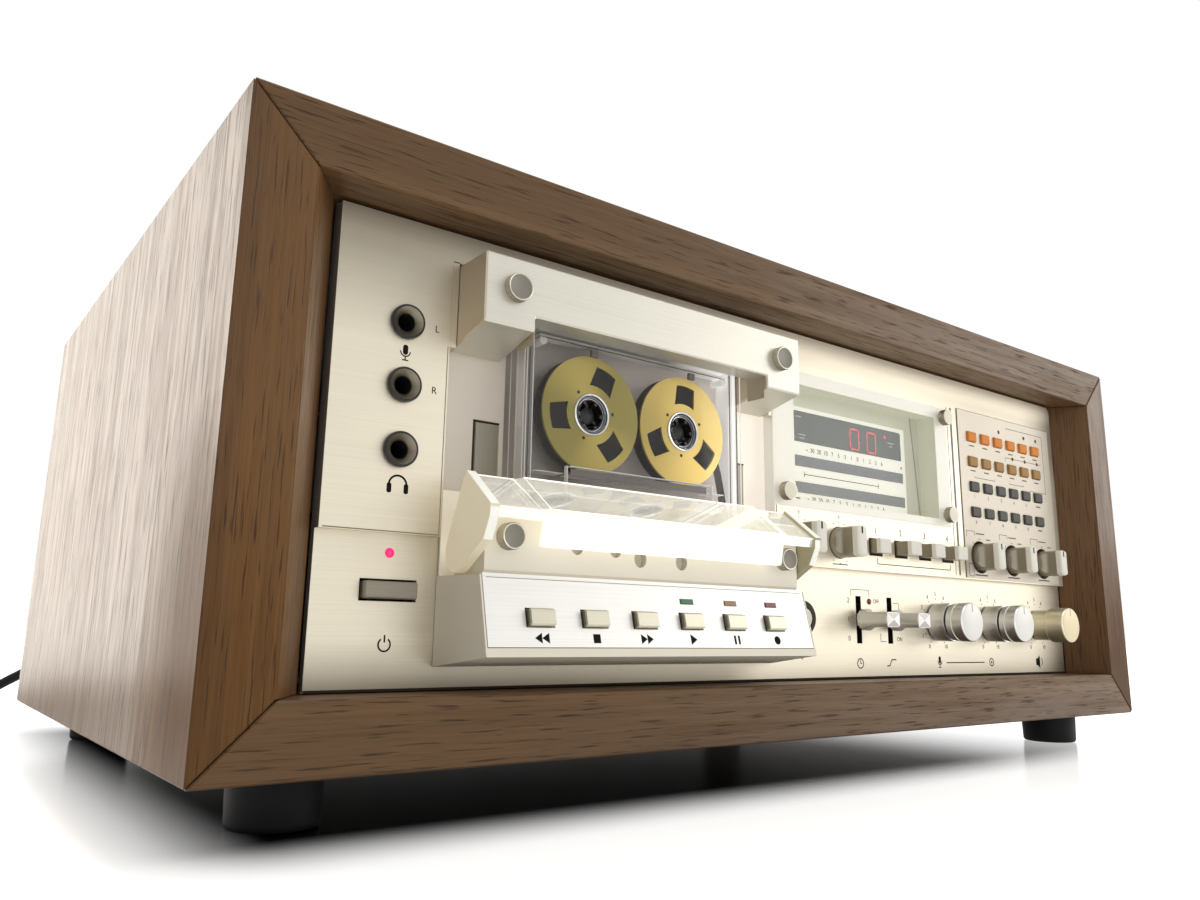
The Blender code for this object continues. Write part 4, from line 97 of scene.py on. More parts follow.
class Nodes:
    """Short way to write shader nodes, for a material or the world."""

    SOCKETS = {"color": "Base Color", "rough": "Roughness", "metal": "Metallic", "alpha": "Alpha",
               "coat": "Coat Weight", "coat_rough": "Coat Roughness", "spec": "Specular IOR Level",
               "emit": "Emission Color", "glow": "Emission Strength", "warm": "Specular Tint"}

    def __init__(self, owner=None):
        self.owner = owner or bpy.data.materials.new("material")
        self.owner.use_nodes = True
        self.tree = self.owner.node_tree
        self.shader = self.tree.nodes.get("Principled BSDF")
        self.coords = self.add("TexCoord").outputs["Object"] if self.shader else None

    def put(self, socket, value):
        if hasattr(value, "node"):
            self.tree.links.new(value, socket)
        else:
            socket.default_value = (*value, 1) if socket.type == "RGBA" else value

    def add(self, kind, values=(), **settings):
        """New node; values gives links or constants by socket name or number."""
        node = self.tree.nodes.new("ShaderNode" + kind)
        for key, value in settings.items():
            setattr(node, key, value)
        for key, value in dict(values).items():
            self.put(node.inputs[key], value)
        return node

    def base(self, **values):
        for key, value in values.items():
            self.put(self.shader.inputs[self.SOCKETS[key]], value)
        return self.owner

    def noise(self, scale, offset, detail, rough=0.5, distort=0.0):
        place = self.add("Mapping", {"Vector": self.coords, "Scale": scale, "Location": offset})
        return self.add("TexNoise", {"Vector": place.outputs[0], "Scale": 1, "Detail": detail,
                                     "Roughness": rough, "Distortion": distort}).outputs["Fac"]

    def span(self, value, *limits):
        """Value from one span, clamped, to another, which is 0 to 1 if not given."""
        return self.add("MapRange", enumerate((value, *limits))).outputs[0]

    def ramp(self, value, *stops):
        node = self.add("ValToRGB", {0: value})
        elements = node.color_ramp.elements
        while len(elements) < len(stops):
            elements.new(0.5)
        for element, (position, color) in zip(elements, stops):
            element.position = position
            element.color = (*color, 1)
        return node.outputs["Color"]

    def cloudy(self, color, low, high, scale, offset, detail, rough=0.5):
        """Colour that varies softly between two shares of itself."""
        cloud = self.noise((scale,) * 3, offset, detail, rough)
        return self.ramp(cloud, (0.3, tuple(c * low for c in color)),
                         (0.7, tuple(min(1.0, c * high) for c in color))), cloud

    def mix(self, factor, first, second, blend="MIX"):
        node = self.add("Mix", data_type="RGBA", blend_type=blend)
        for number, value in ((0, factor), (6, first), (7, second)):
            self.put(node.inputs[number], value)
        return node.outputs[2]

    def math(self, kind, first, second=0.0):
        return self.add("Math", {0: first, 1: second}, operation=kind).outputs[0]

    def times(self, first, *rest):
        for value in rest:
            first = self.math("MULTIPLY", first, value)
        return first

    def plus(self, first, *rest):
        for value in rest:
            first = self.math("ADD", first, value)
        return first

    def minus(self, first, second):
        return self.math("SUBTRACT", first, second)

    def axis(self, which, vector=None):
        return self.add("SeparateXYZ", {0: vector or self.coords}).outputs["XYZ".index(which)]

    def normal(self, which):
        return self.axis(which, self.add("NewGeometry").outputs["Normal"])

    def bump(self, height, strength, distance):
        node = self.add("Bump", {"Strength": strength, "Distance": distance, "Height": height})
        self.put(self.shader.inputs["Normal"], node.outputs["Normal"])


def along(axis, length, across):
    """Texture scale with long features on one axis."""
    return tuple(length if name == axis else across for name in "xyz")


def walnut(axis, stops, seed, gloss=0.0, dull=None):
    """Veneer: broad figure, fibres and short dark pores along one axis."""
    n = Nodes()
    shift = (seed * 3.7, seed * 1.9, seed * 5.3)
    figure = n.noise(along(axis, 2.2, 60), shift, 5, 0.6, 0.6)
    streak = n.noise(along(axis, 9, 420), shift, 6, 0.7, 0.2)
    fibre = n.noise(along(axis, 45, 2600), shift, 3, 0.6)
    pore = n.span(n.noise(along(axis, 55, 1250), (seed, 7, seed), 2), 0.575, 0.66)
    vein = n.noise(along(axis, 14, 330), (seed, 3, seed), 3, 0.6)
    color = n.ramp(figure, *stops)
    color = n.mix(n.span(streak, 0.38, 0.66, 0.0, 0.75), color, n.mix(0.5, color, (0.03, 0.012, 0.004)))
    color = n.mix(n.span(fibre, 0.35, 0.65, 0.0, 0.16), color, (0.30, 0.175, 0.085))
    color = n.mix(n.times(pore, 0.72), color, (0.030, 0.014, 0.006))
    shine = n.plus(n.span(streak, 0.3, 0.7, 0.39, 0.45), n.times(pore, 0.22),
                   n.span(vein, 0.42, 0.66, 0.0, 0.14))
    if dull:
        shine = n.plus(shine, n.times(dull(n), 0.5))
    n.bump(n.minus(n.times(fibre, 0.35), pore), 0.35, 0.0001)
    return n.base(color=color, rough=shine, spec=0.42, coat=gloss, coat_rough=0.30, warm=(1.0, 0.86, 0.68))


def worn_corner(n):
    """The lacquer is dull at the lower front corner."""
    return n.times(n.span(n.axis("Z"), 0.115, 0.045), n.span(n.axis("Y"), FRONT_Y + 0.065, FRONT_Y + 0.015))


def panel_shade(n):
    """Painted shade: darker under the overhang, at the bottom rail, at the right end, beside the key housing,
    and over a patch towards the upper right.
    """
    x, z = n.axis("X"), n.axis("Z")

    def up(low, high, *to):
        return n.span(z, PANEL_Z + low, PANEL_Z + high, *to)

    edge = n.times(up(0.062, 0.070), n.span(x, -0.15, 0.0, 0.2, 0.9))
    top = n.times(up(0.030, 0.060), n.minus(1.0, edge), n.span(x, 0.10, -0.19, 0.10, 0.58))
    under = n.span(x, -0.205, -0.17, 0.57, 0.72)
    for low, high, drop in ((-0.12, -0.045, 0.12), (-0.045, -0.028, 0.38), (0.0, 0.15, -0.17)):
        under = n.minus(under, n.span(x, low, high, 0.0, drop))
    bottom = n.times(up(-0.058, -0.071), under)
    right = n.times(n.span(x, 0.178, 0.205, 0.0, 0.42), up(0.045, 0.062, 1.0, 0.4))
    end = n.span(x, 0.02, 0.12, 0.0, 0.05)
    # Painted shade over a patch towards the upper right, where a lamp's reflection is strong.
    corner = n.times(n.span(x, 0.03, 0.13), up(0.030, 0.055, 0.0, 0.34), up(0.068, 0.061))
    beside = n.times(n.span(x, -0.185, -0.172, 0.0, 0.26), n.span(x, -0.150, -0.165),
                     up(-0.015, -0.028), up(-0.064, -0.055))
    total = n.plus(top, bottom, right, end, corner, beside)
    return n.minus(1.0, n.math("MINIMUM", total, 0.8))


def brushed(color, axis="x", rough=0.34, metal=0.9, depth=0.10, painted_shade=None, left=None):
    """Brushed metal with long fine scratches along one axis, and faint cloudy wear; the shade function paints
    shade on it, and left gives faces that point left a painted colour: shade on the bridge and the keys, a
    cooler tone on the panel.
    """
    n = Nodes()
    lines = n.noise(along(axis, 6, 2600), (2, 3, 4), 5, 0.7)
    cloud = n.noise((9, 9, 9), (5, 1, 2), 4, 0.55)
    shade = n.ramp(n.plus(n.times(lines, 0.6), n.times(cloud, 0.4)),
                   (0.30, tuple(c * 0.86 for c in color)), (0.70, tuple(min(1.0, c * 1.05) for c in color)))
    # The painted shade darkens the metal towards a dark brown.
    if painted_shade:
        shade = n.mix(painted_shade(n), (0.16, 0.13, 0.09), shade)
    # Painted light and shade: faces that point left get a colour of their own.
    if left:
        shade = n.mix(n.span(n.normal("X"), -0.4, -0.8), shade, left)
    n.bump(lines, depth, 0.00005)
    return n.base(color=shade, metal=metal, rough=n.span(lines, 0.3, 0.7, rough - 0.06, rough + 0.08))


def moulded(color, rough=0.45, metal=0.0, grain=0.12, spots=0.06, spec=0.5):
    """Painted or moulded surface with slight texture and colour variation."""
    n = Nodes()
    shade, cloud = n.cloudy(color, 1 - spots * 2, 1 + spots, 22, (3, 2, 8), 4, 0.6)
    n.bump(n.noise((2200, 2200, 2200), (1, 2, 3), 2), grain, 0.00004)
    return n.base(color=shade, metal=metal, spec=spec,
                  rough=n.span(cloud, 0.3, 0.7, rough - 0.04, rough + 0.06))


def turned_metal(color, rough=0.20, metal=1.0, bands=None):
    """Lathe-turned metal; bands are painted reflections that lighten and darken its side faces by their
    slant.
    """
    n = Nodes()
    shade, _ = n.cloudy(color, 0.95, 1.0, 25, (4, 4, 1), 3, 0.6)
    if bands:
        # Painted reflection bands, on side faces only; faces turned to the front keep the plain colour.
        painted_tone = n.ramp(n.span(n.normal("Z"), -1.0, 1.0), *((at, (v, v, v)) for at, v in bands))
        side = n.span(n.math("ABSOLUTE", n.normal("Y")), 0.5, 0.8)
        shade = n.mix(side, n.mix(1.0, shade, painted_tone, "MULTIPLY"), shade)
    fine = n.noise((300, 5200, 300), (6, 2, 2), 2)
    return n.base(color=shade, metal=metal, rough=n.span(fine, 0.3, 0.7, rough, rough + 0.01))


def clear(tint, low, high, rough=0.06, start=0.15, shine=0.0):
    """Clear plastic: nearly see-through face on, and paler and glossier at a slant, a painted reflection;
    shine adds a painted glow.
    """
    n = Nodes()
    facing = n.add("LayerWeight", {"Blend": 0.42}).outputs["Facing"]
    shade, dust = n.cloudy(tint, 0.96, 1.0, 90, (1, 5, 2), 5, 0.6)
    alpha = n.times(n.span(facing, start, 0.95, low, high), n.span(dust, 0.3, 0.7, 0.85, 1.15))
    return n.base(color=shade, metal=0.8, rough=rough, alpha=alpha, emit=tint, glow=shine)


def bright(color, strength=0.0, extra=None, painted_tone=None):
    """Pale surface with an even painted glow, more painted light in places where extra gives it, and painted
    shade from the tone function.
    """
    n = Nodes()
    shade, _ = n.cloudy(color, 0.97, 1.0, 14, (2, 6, 1), 3)
    if painted_tone:
        shade = painted_tone(n, shade)
    if not extra:
        return n.base(color=shade, emit=shade, glow=strength, rough=0.5)
    level = n.plus(strength, extra(n))
    return n.base(color=shade, emit=n.mix(1.0, shade, level, "MULTIPLY"), glow=1.0, rough=0.5)


def lift(low, high, *to):
    """Painted light that changes from left to right across the bay."""
    return lambda n: n.span(n.axis("X"), BAY_X + low, BAY_X + high, *to)


def front_lift(n):
    """Painted light on the housing's front faces, under the clear cover, more towards the top."""
    return n.times(n.span(n.normal("Y"), -0.5, -0.9),
                   n.span(n.axis("Z"), PANEL_Z - 0.0375, PANEL_Z - 0.030, 0.22, 0.36))


def liner_lift(n):
    """Painted light, more towards the top and right of the clear cassette."""
    return n.plus(lift(-0.02, 0.050, 0.0, 0.40)(n),
                  n.span(n.axis("Z"), PANEL_Z + 0.030, PANEL_Z + 0.045, 0.0, 0.10))


def arm_dark(n, shade):
    """Painted shade on the cover's right arm."""
    return n.mix(lift(-0.02, 0.02)(n), shade, (0.50, 0.46, 0.31))


def reel_gold():
    """Gold print with painted highlights in fans, as round brushed metal shows them; the left reel is painted
    in shade, the right one painted lighter towards its lower right.
    """
    n = Nodes()
    x = n.axis("X")
    right = n.math("GREATER_THAN", x, BAY_X)
    dx = n.minus(x, n.plus(BAY_X - REEL_X * MM, n.times(right, 2 * REEL_X * MM)))
    dz = n.minus(n.axis("Z"), PANEL_Z + REEL_Z * MM)
    angle = n.math("ARCTAN2", dz, dx)
    painted_fan = n.span(n.math("COSINE", n.minus(n.times(angle, 2.0), 3.9)), -0.4, 1.0)
    across = n.span(n.minus(dx, n.times(dz, 0.4)), -0.016, 0.020)
    # The first colour is the left reel in painted shade, the second the right reel with painted light.
    dull = n.mix(n.times(painted_fan, 0.6), (0.225, 0.185, 0.030), (0.50, 0.38, 0.085))
    right_painted_light = n.mix(n.plus(n.times(across, 0.75), n.times(painted_fan, 0.2)), (0.36, 0.265, 0.050), (0.86, 0.62, 0.17))
    return n.base(color=n.mix(right, dull, right_painted_light), metal=0.45, rough=0.30)


def glow(color, strength):
    """Light of a lamp or a digit behind dark plastic."""
    n = Nodes()
    cloud = n.noise((300, 300, 300), (1, 1, 1), 2)
    light = n.ramp(cloud, (0.2, tuple(c * 0.85 for c in color)), (0.8, color))
    return n.base(color=(0.02, 0.02, 0.02), emit=light, glow=strength, rough=0.3)


SIDE_STOPS = ((0.25, (0.084, 0.032, 0.006)), (0.50, (0.132, 0.053, 0.010)), (0.75, (0.190, 0.080, 0.016)))
RAIL_STOPS = ((0.25, (0.094, 0.048, 0.021)), (0.50, (0.146, 0.077, 0.034)), (0.75, (0.200, 0.110, 0.050)))
# Painted reflections on turned metal: a brightness for each slant of a side face, from facing down to facing
# up.
CHROME_REFLECTION_BANDS = ((0.0, 0.45), (0.18, 0.62), (0.40, 0.80), (0.58, 0.97), (0.72, 1.0), (0.84, 0.80),
                (0.93, 0.62), (1.0, 0.80))
GOLD_REFLECTION_BANDS = ((0.0, 0.42), (0.22, 0.60), (0.45, 0.78), (0.62, 1.0), (0.80, 1.0), (0.90, 0.66), (1.0, 0.58))

M = {
    "side": walnut("z", SIDE_STOPS, 1.0, 0.22, worn_corner),
    "rail_top": walnut("x", RAIL_STOPS, 2.0),
    "rail_bottom": walnut("x", RAIL_STOPS, 3.0),
    # panel, bridge and button: painted shade from panel_shade, and a painted colour on faces that point left.
    "panel": brushed((0.80, 0.735, 0.595), "x", 0.44, 0.85, 0.10, panel_shade, (0.78, 0.80, 0.78)),
    "bridge": brushed((0.70, 0.675, 0.59), "x", 0.38, 0.6, 0.05, left=(0.60, 0.51, 0.38)),
    "fascia": brushed((0.93, 0.92, 0.88), "x", 0.42, 0.5),
    "button": brushed((0.68, 0.64, 0.51), "x", 0.36, 0.6, 0.06, left=(0.17, 0.15, 0.10)),
    "lever": brushed((0.80, 0.79, 0.76), "y", 0.30, 0.75, 0.015),
    "bronze": brushed((0.38, 0.34, 0.265), "y", 0.36, 0.65, 0.05),
    "grey_metal": brushed((0.34, 0.305, 0.24), "x", 0.42, 0.6),
    "touch": brushed((0.34, 0.31, 0.245), "z", 0.42, 0.5),
    "zinc": brushed((0.52, 0.52, 0.49), "x", 0.42),
    # From housing to border: painted light; these surfaces glow, evenly or more in places, the arm has
    # painted shade on its right, the arm's rim and the edge material are painted highlights, and shade is a
    # painted shade strip in the display.
    "housing": bright((0.78, 0.73, 0.61), 0.0, front_lift),
    "arm": bright((0.88, 0.80, 0.60), 0.0, lift(-0.02, 0.02, 0.22, 0.03), arm_dark),
    "arm_rim": bright((0.96, 0.95, 0.88), 0.35),
    "edge": bright((0.98, 0.98, 0.93), 0.50),
    "well": bright((0.82, 0.75, 0.66), 0.06, lift(0.047, 0.056, 0.0, 0.55)),
    "liner": bright((0.47, 0.42, 0.38), 0.0, liner_lift),
    "rib": bright((0.74, 0.73, 0.71), 0.0, lift(0.015, 0.047, 0.02, 0.50)),
    "cream": bright((0.86, 0.83, 0.73), 0.10),
    "band": bright((0.96, 0.96, 0.95), 0.40),
    "tray": bright((0.67, 0.67, 0.55), 0.19),
    "shade": bright((0.62, 0.63, 0.53), 0.15),
    "face": bright((0.94, 0.93, 0.82), 0.30),
    "border": bright((0.98, 0.95, 0.85), 0.24),
    # chrome, rim, stud_side, cone and gold carry painted reflection bands.
    "chrome": turned_metal((0.93, 0.93, 0.92), 0.30, 0.90, CHROME_REFLECTION_BANDS),
    "chrome_face": turned_metal((0.75, 0.74, 0.70), 0.48, 0.45),
    "gold": turned_metal((1.0, 0.93, 0.70), 0.32, 0.78, GOLD_REFLECTION_BANDS),
    "gold_face": turned_metal((0.76, 0.66, 0.44), 0.48, 0.45),
    "clear_face": turned_metal((0.74, 0.70, 0.58), 0.5, 0.30),
    "ring": turned_metal((0.72, 0.72, 0.74), 0.10),
    # The second ring material is a painted dark reflection for the cone inside each reel's hub ring.
    "ring_dark": turned_metal((0.13, 0.14, 0.16), 0.12),
    "rim": turned_metal((0.56, 0.52, 0.43), 0.26, 1.0, CHROME_REFLECTION_BANDS),
    "stud_face": turned_metal((0.27, 0.25, 0.205), 0.5, 0.25),
    "stud_side": turned_metal((0.46, 0.42, 0.33), 0.35, 0.8, CHROME_REFLECTION_BANDS),
    "cone": turned_metal((0.30, 0.27, 0.20), 0.34, 0.8, CHROME_REFLECTION_BANDS),
    "brass": turned_metal((0.80, 0.62, 0.30), 0.28),
    "plate": moulded((0.70, 0.63, 0.52), 0.42, 0.25, 0.05, 0.02),
    # tip and tip_shade are a lit copy and a painted-shade copy of one finish, for the facets of a lever's
    # point.
    "tip": moulded((0.80, 0.79, 0.76), 0.30, 0.4, 0.0, 0.02),
    "tip_shade": moulded((0.40, 0.39, 0.36), 0.30, 0.4, 0.0, 0.02),
    "orange": moulded((0.98, 0.34, 0.055), 0.5, 0.0, 0.05, 0.02, 0.15),
    "tan": moulded((0.50, 0.28, 0.085), 0.5, 0.0, 0.05, 0.02, 0.2),
    "grey": moulded((0.105, 0.103, 0.093), 0.5, 0.0, 0.05, 0.02, 0.2),
    "black": moulded((0.012, 0.012, 0.012)),
    "lining": moulded((0.42, 0.36, 0.25), 0.5, 0.0, 0.05, 0.04),
    # Dark for real gaps, slots and seams, and for the painted shadow round keys and touch plates.
    "gap_dark": moulded((0.050, 0.040, 0.028), 0.7, 0.0, 0.0, 0.02, 0.05),
    "seam": moulded((0.34, 0.31, 0.245), 0.7, 0.0, 0.0, 0.02, 0.1),
    "small_ink": moulded((0.15, 0.13, 0.105), 0.80, 0.0, 0.0, 0.0, 0.03),
    "mute_black": moulded((0.036, 0.028, 0.016), 0.5, 0.0, 0.05, 0.05, 0.2),
    "edge_grey": moulded((0.34, 0.31, 0.25), 0.5, 0.0, 0.0, 0.02),
    "rubber": moulded((0.008, 0.008, 0.009), 0.6, 0.0, 0.25, 0.10, 0.25),
    "ink": moulded((0.020, 0.018, 0.018), 0.80, 0.0, 0.0, 0.0, 0.03),
    "pale_ink": moulded((0.62, 0.64, 0.62), 0.50, 0.0, 0.0, 0.0),
    "rib_dark": moulded((0.16, 0.14, 0.13), 0.2, 0.0, 0.0, 0.02),
    "tape": moulded((0.030, 0.023, 0.018), spec=0.2),
    "window": moulded((0.022, 0.021, 0.019), 0.7, spec=0.05),
    "slate": moulded((0.270, 0.290, 0.280), 0.5, 0.0, 0.02, 0.06, 0.2),
    "bars": moulded((0.400, 0.415, 0.425), 0.5, 0.0, 0.02, 0.06, 0.2),
    "green": moulded((0.035, 0.16, 0.085), 0.30),
    "amber": moulded((0.34, 0.19, 0.075), 0.30),
    "red": moulded((0.20, 0.018, 0.022), 0.30),
    "board": moulded((0.04, 0.16, 0.06), 0.5),
    "core": moulded((0.12, 0.11, 0.10), 0.5, 0.5),
    "shell": clear((0.86, 0.83, 0.80), 0.02, 0.55, 0.04, 0.40),
    # The cover's shine is a painted glow.
    "cover": clear((0.97, 0.95, 0.88), 0.38, 0.88, 0.02, shine=0.30),
    "glass": clear((0.92, 0.94, 0.88), 0.006, 0.12, 0.03, 0.45),
    "reel": reel_gold(),
    "digit": glow((1.0, 0.055, 0.075), 0.95),
    "led": glow((1.0, 0.0, 0.16), 1.1),
    "led_core": glow((1.0, 0.02, 0.28), 1.3),
}
for key, material in M.items():
    material.name = key

PAINT = {
    "side": "cabinet_left cabinet_right", "rail_top": "cabinet_top", "rail_bottom": "cabinet_bottom",
    "panel": "faceplate", "bridge": "cassette_bridge", "housing": "control_housing", "arm": "cover_frame",
    "well": "cassette_well", "fascia": "control_fascia",
    "button": "rewind_button stop_button fast_forward_button play_button pause_button record_button",
    "grey_metal": "power_button", "orange": "program_keys", "tan": "memory_keys", "grey": "number_keys",
    "black": "spindle_left spindle_right", "shell": "cassette_shell", "cover": "clear_cover",
    "glass": "display_glass", "tray": "display_panel",
    "zinc": "rear_panel chassis capstan_flywheel head_block", "board": "main_board",
    "core": "power_transformer",
}


def paint_nodes():
    """Give the nodes that stay as they are their materials."""
    for key, names in PAINT.items():
        for name in names.split():
            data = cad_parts[name].data
            data.materials.clear()
            data.materials.append(M[key])
            for polygon in data.polygons:
                polygon.material_index = 0


# Outlines in x and z

def rect(x0, x1, z0, z1):
    return [(x0, z0), (x1, z0), (x1, z1), (x0, z1)]


def about(middle, half):
    return middle - half, middle + half


def polar(x, z, radius, angle):
    return x + radius * math.cos(angle), z + radius * math.sin(angle)


def circle(x, z, radius, steps, shift=0.0):
    return [polar(x, z, radius, 2 * math.pi * (i + shift) / steps) for i in range(steps)]


def rounded(x, z, half_x, half_z, radius):
    """Rectangle with round corners."""
    return [polar(x + sx * (half_x - radius), z + sz * (half_z - radius), radius,
                  math.radians(start + 90 * i / 6))
            for sx, sz, start in ((1, -1, -90), (1, 1, 0), (-1, 1, 90), (-1, -1, 180)) for i in range(7)]


class Shape:
    """Mesh drawn in panel millimetres, or in the frame that at gives, and made one piece by done."""

    def __init__(self, at=P):
        self.bm = bmesh.new()
        self.at = at

    def face(self, verts, index=0):
        self.bm.faces.new(verts).material_index = index

    def loft(self, rings, index=0, closed=False):
        """Skin through rings of equal count; index is a material number, or one for each band."""
        layers = [[self.bm.verts.new(p) for p in ring] for ring in rings]
        pairs = list(zip(layers, layers[1:] + layers[:1] * closed))
        bands = index if isinstance(index, list) else [index] * len(pairs)
        for (low, high), band in zip(pairs, bands):
            for corners in zip(low, low[1:] + low[:1], high[1:] + high[:1], high):
                self.face(corners, band)
        if not closed:
            self.face(layers[0][::-1], bands[0])
            self.face(layers[-1], bands[-1])

    def outlines(self, pairs, index=0, closed=False):
        """Skin through outlines, each with its distance out."""
        self.loft([[self.at(x, out, z) for x, z in outline] for outline, out in pairs], index, closed)

    def prism(self, outline, outs, index=0):
        self.outlines([(outline, out) for out in outs], index)

    def block(self, xs, outs, zs, index=0):
        self.prism(rect(*xs, *zs), outs, index)

    def sheet(self, outer, inner, low, high):
        """Flat sheet between two outlines."""
        self.outlines([(outer, low), (outer, high), (inner, high), (inner, low)], closed=True)

    def turned(self, profile, x, z, steps=64, index=0, closed=False):
        """Turned form from (radius, out) points about an axis square to the panel."""
        self.outlines([(circle(x, z, max(radius, 0.004), steps), out) for radius, out in profile],
                      index, closed)

    def done(self, name, keys, slot=None, replaces=(), body="root", smooth=True, angle=35):
        """Finish the piece: its materials by key, the nodes that it replaces, and its body; slot is not used.
        """
        bmesh.ops.recalc_face_normals(self.bm, faces=self.bm.faces)
        mesh = bpy.data.meshes.new(name)
        self.bm.to_mesh(mesh)
        self.bm.free()
        for key in keys.split():
            mesh.materials.append(M[key])
        if smooth:
            mesh.shade_smooth()
            mesh.set_sharp_from_angle(angle=math.radians(angle))
        obj = add_object(name, mesh)
        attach(obj, body)
        if replaces:
            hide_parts(*replaces)
        return obj


class Print(Shape):
    """Thin printed marks on a surface, all in one mesh."""

    def __init__(self, low, high, at=P):
        super().__init__(at)
        self.outs = low, high

    def poly(self, points):
        self.prism(points, self.outs)

    def bar(self, x, z, width, height):
        self.block(about(x, width / 2), self.outs, about(z, height / 2))

    def path(self, width, *points):
        for (x0, z0), (x1, z1) in zip(points, points[1:]):
            dx, dz = x1 - x0, z1 - z0
            size = math.hypot(dx, dz)
            nx, nz = -dz / size * width / 2, dx / size * width / 2
            self.poly([(x0 - nx, z0 - nz), (x1 - nx, z1 - nz), (x1 + nx, z1 + nz), (x0 + nx, z0 + nz)])

    def dash(self, width, x0, x1, z):
        self.path(width, (x0, z), (x1, z))

    def disc(self, x, z, radius, steps=20):
        self.poly(circle(x, z, radius, steps))

    def arc(self, x, z, radius, start, end, width, steps=14):
        points = []
        for side, order in ((-1, 1), (1, -1)):
            points += [polar(x, z, radius + side * width / 2, math.radians(start + (end - start) * i / steps))
                       for i in range(steps + 1)][::order]
        self.poly(points)

    def text(self, words, x, z, size):
        curve = bpy.data.curves.new("words", "FONT")
        curve.body, curve.size = words, size
        curve.align_x = curve.align_y = "CENTER"
        obj = add_object("words", curve)
        bpy.context.view_layer.update()
        mesh = obj.evaluated_get(bpy.context.evaluated_depsgraph_get()).to_mesh()
        ends = [[self.bm.verts.new(self.at(x + v.co.x, out, z + v.co.y)) for out in self.outs]
                for v in mesh.vertices]
        edges = {}
        for polygon in mesh.polygons:
            loop = list(polygon.vertices)
            for level, order in ((1, 1), (0, -1)):
                self.face([ends[i][level] for i in loop][::order])
            for a, b in zip(loop, loop[1:] + loop[:1]):
                edges.setdefault((min(a, b), max(a, b)), []).append((a, b))
        for (a, b), *others in edges.values():
            if not others:
                self.face((ends[a][0], ends[b][0], ends[b][1], ends[a][1]))
        obj.to_mesh_clear()
        bpy.data.objects.remove(obj, do_unlink=True)
        bpy.data.curves.remove(curve)

    def done(self, name, key):
        return super().done(name, key, smooth=False)


def frame_ring(name, key, outer, inner, low, high):
    """Flat frame between two rectangles, each x0, x1, z0, z1."""
    s = Shape()
    s.sheet(rect(*outer), rect(*inner), low, high)
    s.done(name, key, "display_grey", smooth=False)


# Knobs, levers and buttons

def level_sleeve(name, x):
    """Rear part of a double level knob."""
    s = Shape()
    s.turned([(2.7, 9.2), (2.7, -4.0), (4.2, -4.0), (4.2, 0.6), (8.2, 0.6), (8.7, 1.0), (8.7, 8.9),
              (8.6, 9.1), (8.2, 9.2)], x, LOWER_ROW, closed=True)
    s.done(name, "chrome", "chrome_knob", [name], name)


def level_grip(name, x, slot, keys, stem, bands):
    """Level knob with its pointer line; stem is the profile behind the front edge."""
    s = Shape()
    s.turned(stem + [(8.7, 17.7), (8.6, 18.2), (8.2, 18.6), (7.9, 18.7), (0, 18.7)], x, LOWER_ROW,
             index=bands)
    s.block(about(x, 0.35), (18.6, 18.72), (LOWER_ROW + 4.6, LOWER_ROW + 8.1), 2)
    s.done(name, keys, slot, [name], name)


def blade_knob(name, x):
    """Small knob: round foot, flat sides, pale cap with a black pointer."""
    z, radius, flat = UPPER_ROW, 6.55, 3.25
    stations = [(0.0, radius, radius), (5.6, radius, radius)]
    for i in range(1, 7):
        a = math.radians(90 * i / 6)
        stations.append((5.6 + 3.2 * (1 - math.cos(a)), radius - (radius - flat) * math.sin(a), radius))
    stations += [(12.3, flat, radius), (12.4, flat + 0.05, radius), (14.4, flat + 0.05, radius),
                 (14.8, flat - 0.15, radius - 0.2), (15.0, flat - 0.5, radius - 0.6)]
    s = Shape()
    s.loft([[P(x + max(-half, min(half, dx)), out, z + dz) for dx, dz in circle(0, 0, r, 72)]
            for out, half, r in stations], [0] * 9 + [1] * 3)
    s.turned([(2.3, -8.0), (2.3, 0.1)], x, z, 24)
    s.block(about(x, 0.45), (13.0, 15.06), (z + 3.2, z + radius - 0.55), 2)
    s.done(name, "bronze cream ink", "knob_grey", [name], name, angle=30)


def tape_button(name, x, front):
    """Key of the tape row: pale cap with eased edges on a dark stem."""
    z = UPPER_ROW
    s = Shape()
    s.block(about(x, 4.0), (-8.0, front - 2.0), about(z, 3.1))
    s.outlines([(rect(*about(x, 4.0 - inset), *about(z, 3.1 - inset)), front - back)
                for back, inset in ((2.0, 0), (0.45, 0), (0.135, 0.135), (0, 0.45))], 1)
    s.done(name, "bronze cream", "knob_grey", [name], name, smooth=False)


def lever(name, x):
    """Round lever with flat top and bottom, and a low four-sided point on its end."""
    z = LOWER_ROW
    stations = ((2.2, 4.1, 4.1), (2.7, 4.6, 4.6), (5.2, 4.6, 4.6), (6.4, 4.6, 3.1), (17.5, 4.6, 3.1),
                (17.55, 4.5, 3.05), (17.6, 4.3, 2.9))
    s = Shape()
    s.loft([[P(x + dx, out, z + max(-half, min(half, dz))) for dx, dz in circle(0, 0, r, 64)]
            for out, r, half in stations], [0, 0, 0, 0, 1, 1])
    s.block(about(x, 1.3), (-28.5, 2.5), about(z, 2.5))
    s.done(name, "lever tip", "chrome_knob", [name], name)
    s = Shape()
    low, high = [[s.bm.verts.new(P(px, out, pz)) for px, pz in rect(*about(x, 4.25), *about(z, 2.85))]
                 for out in (17.4, 17.66)]
    middle = s.bm.verts.new(P(x, 17.98, z))
    s.face(low)
    # Facets alternate: top and bottom in painted shade, left and right in the lit copy.
    for i in range(4):
        j = (i + 1) % 4
        s.face((low[i], low[j], high[j], high[i]))
        s.face((high[i], high[j], middle), i % 2)
    s.done(name + "_tip", "tip_shade tip", "chrome_knob", body=name, smooth=False)


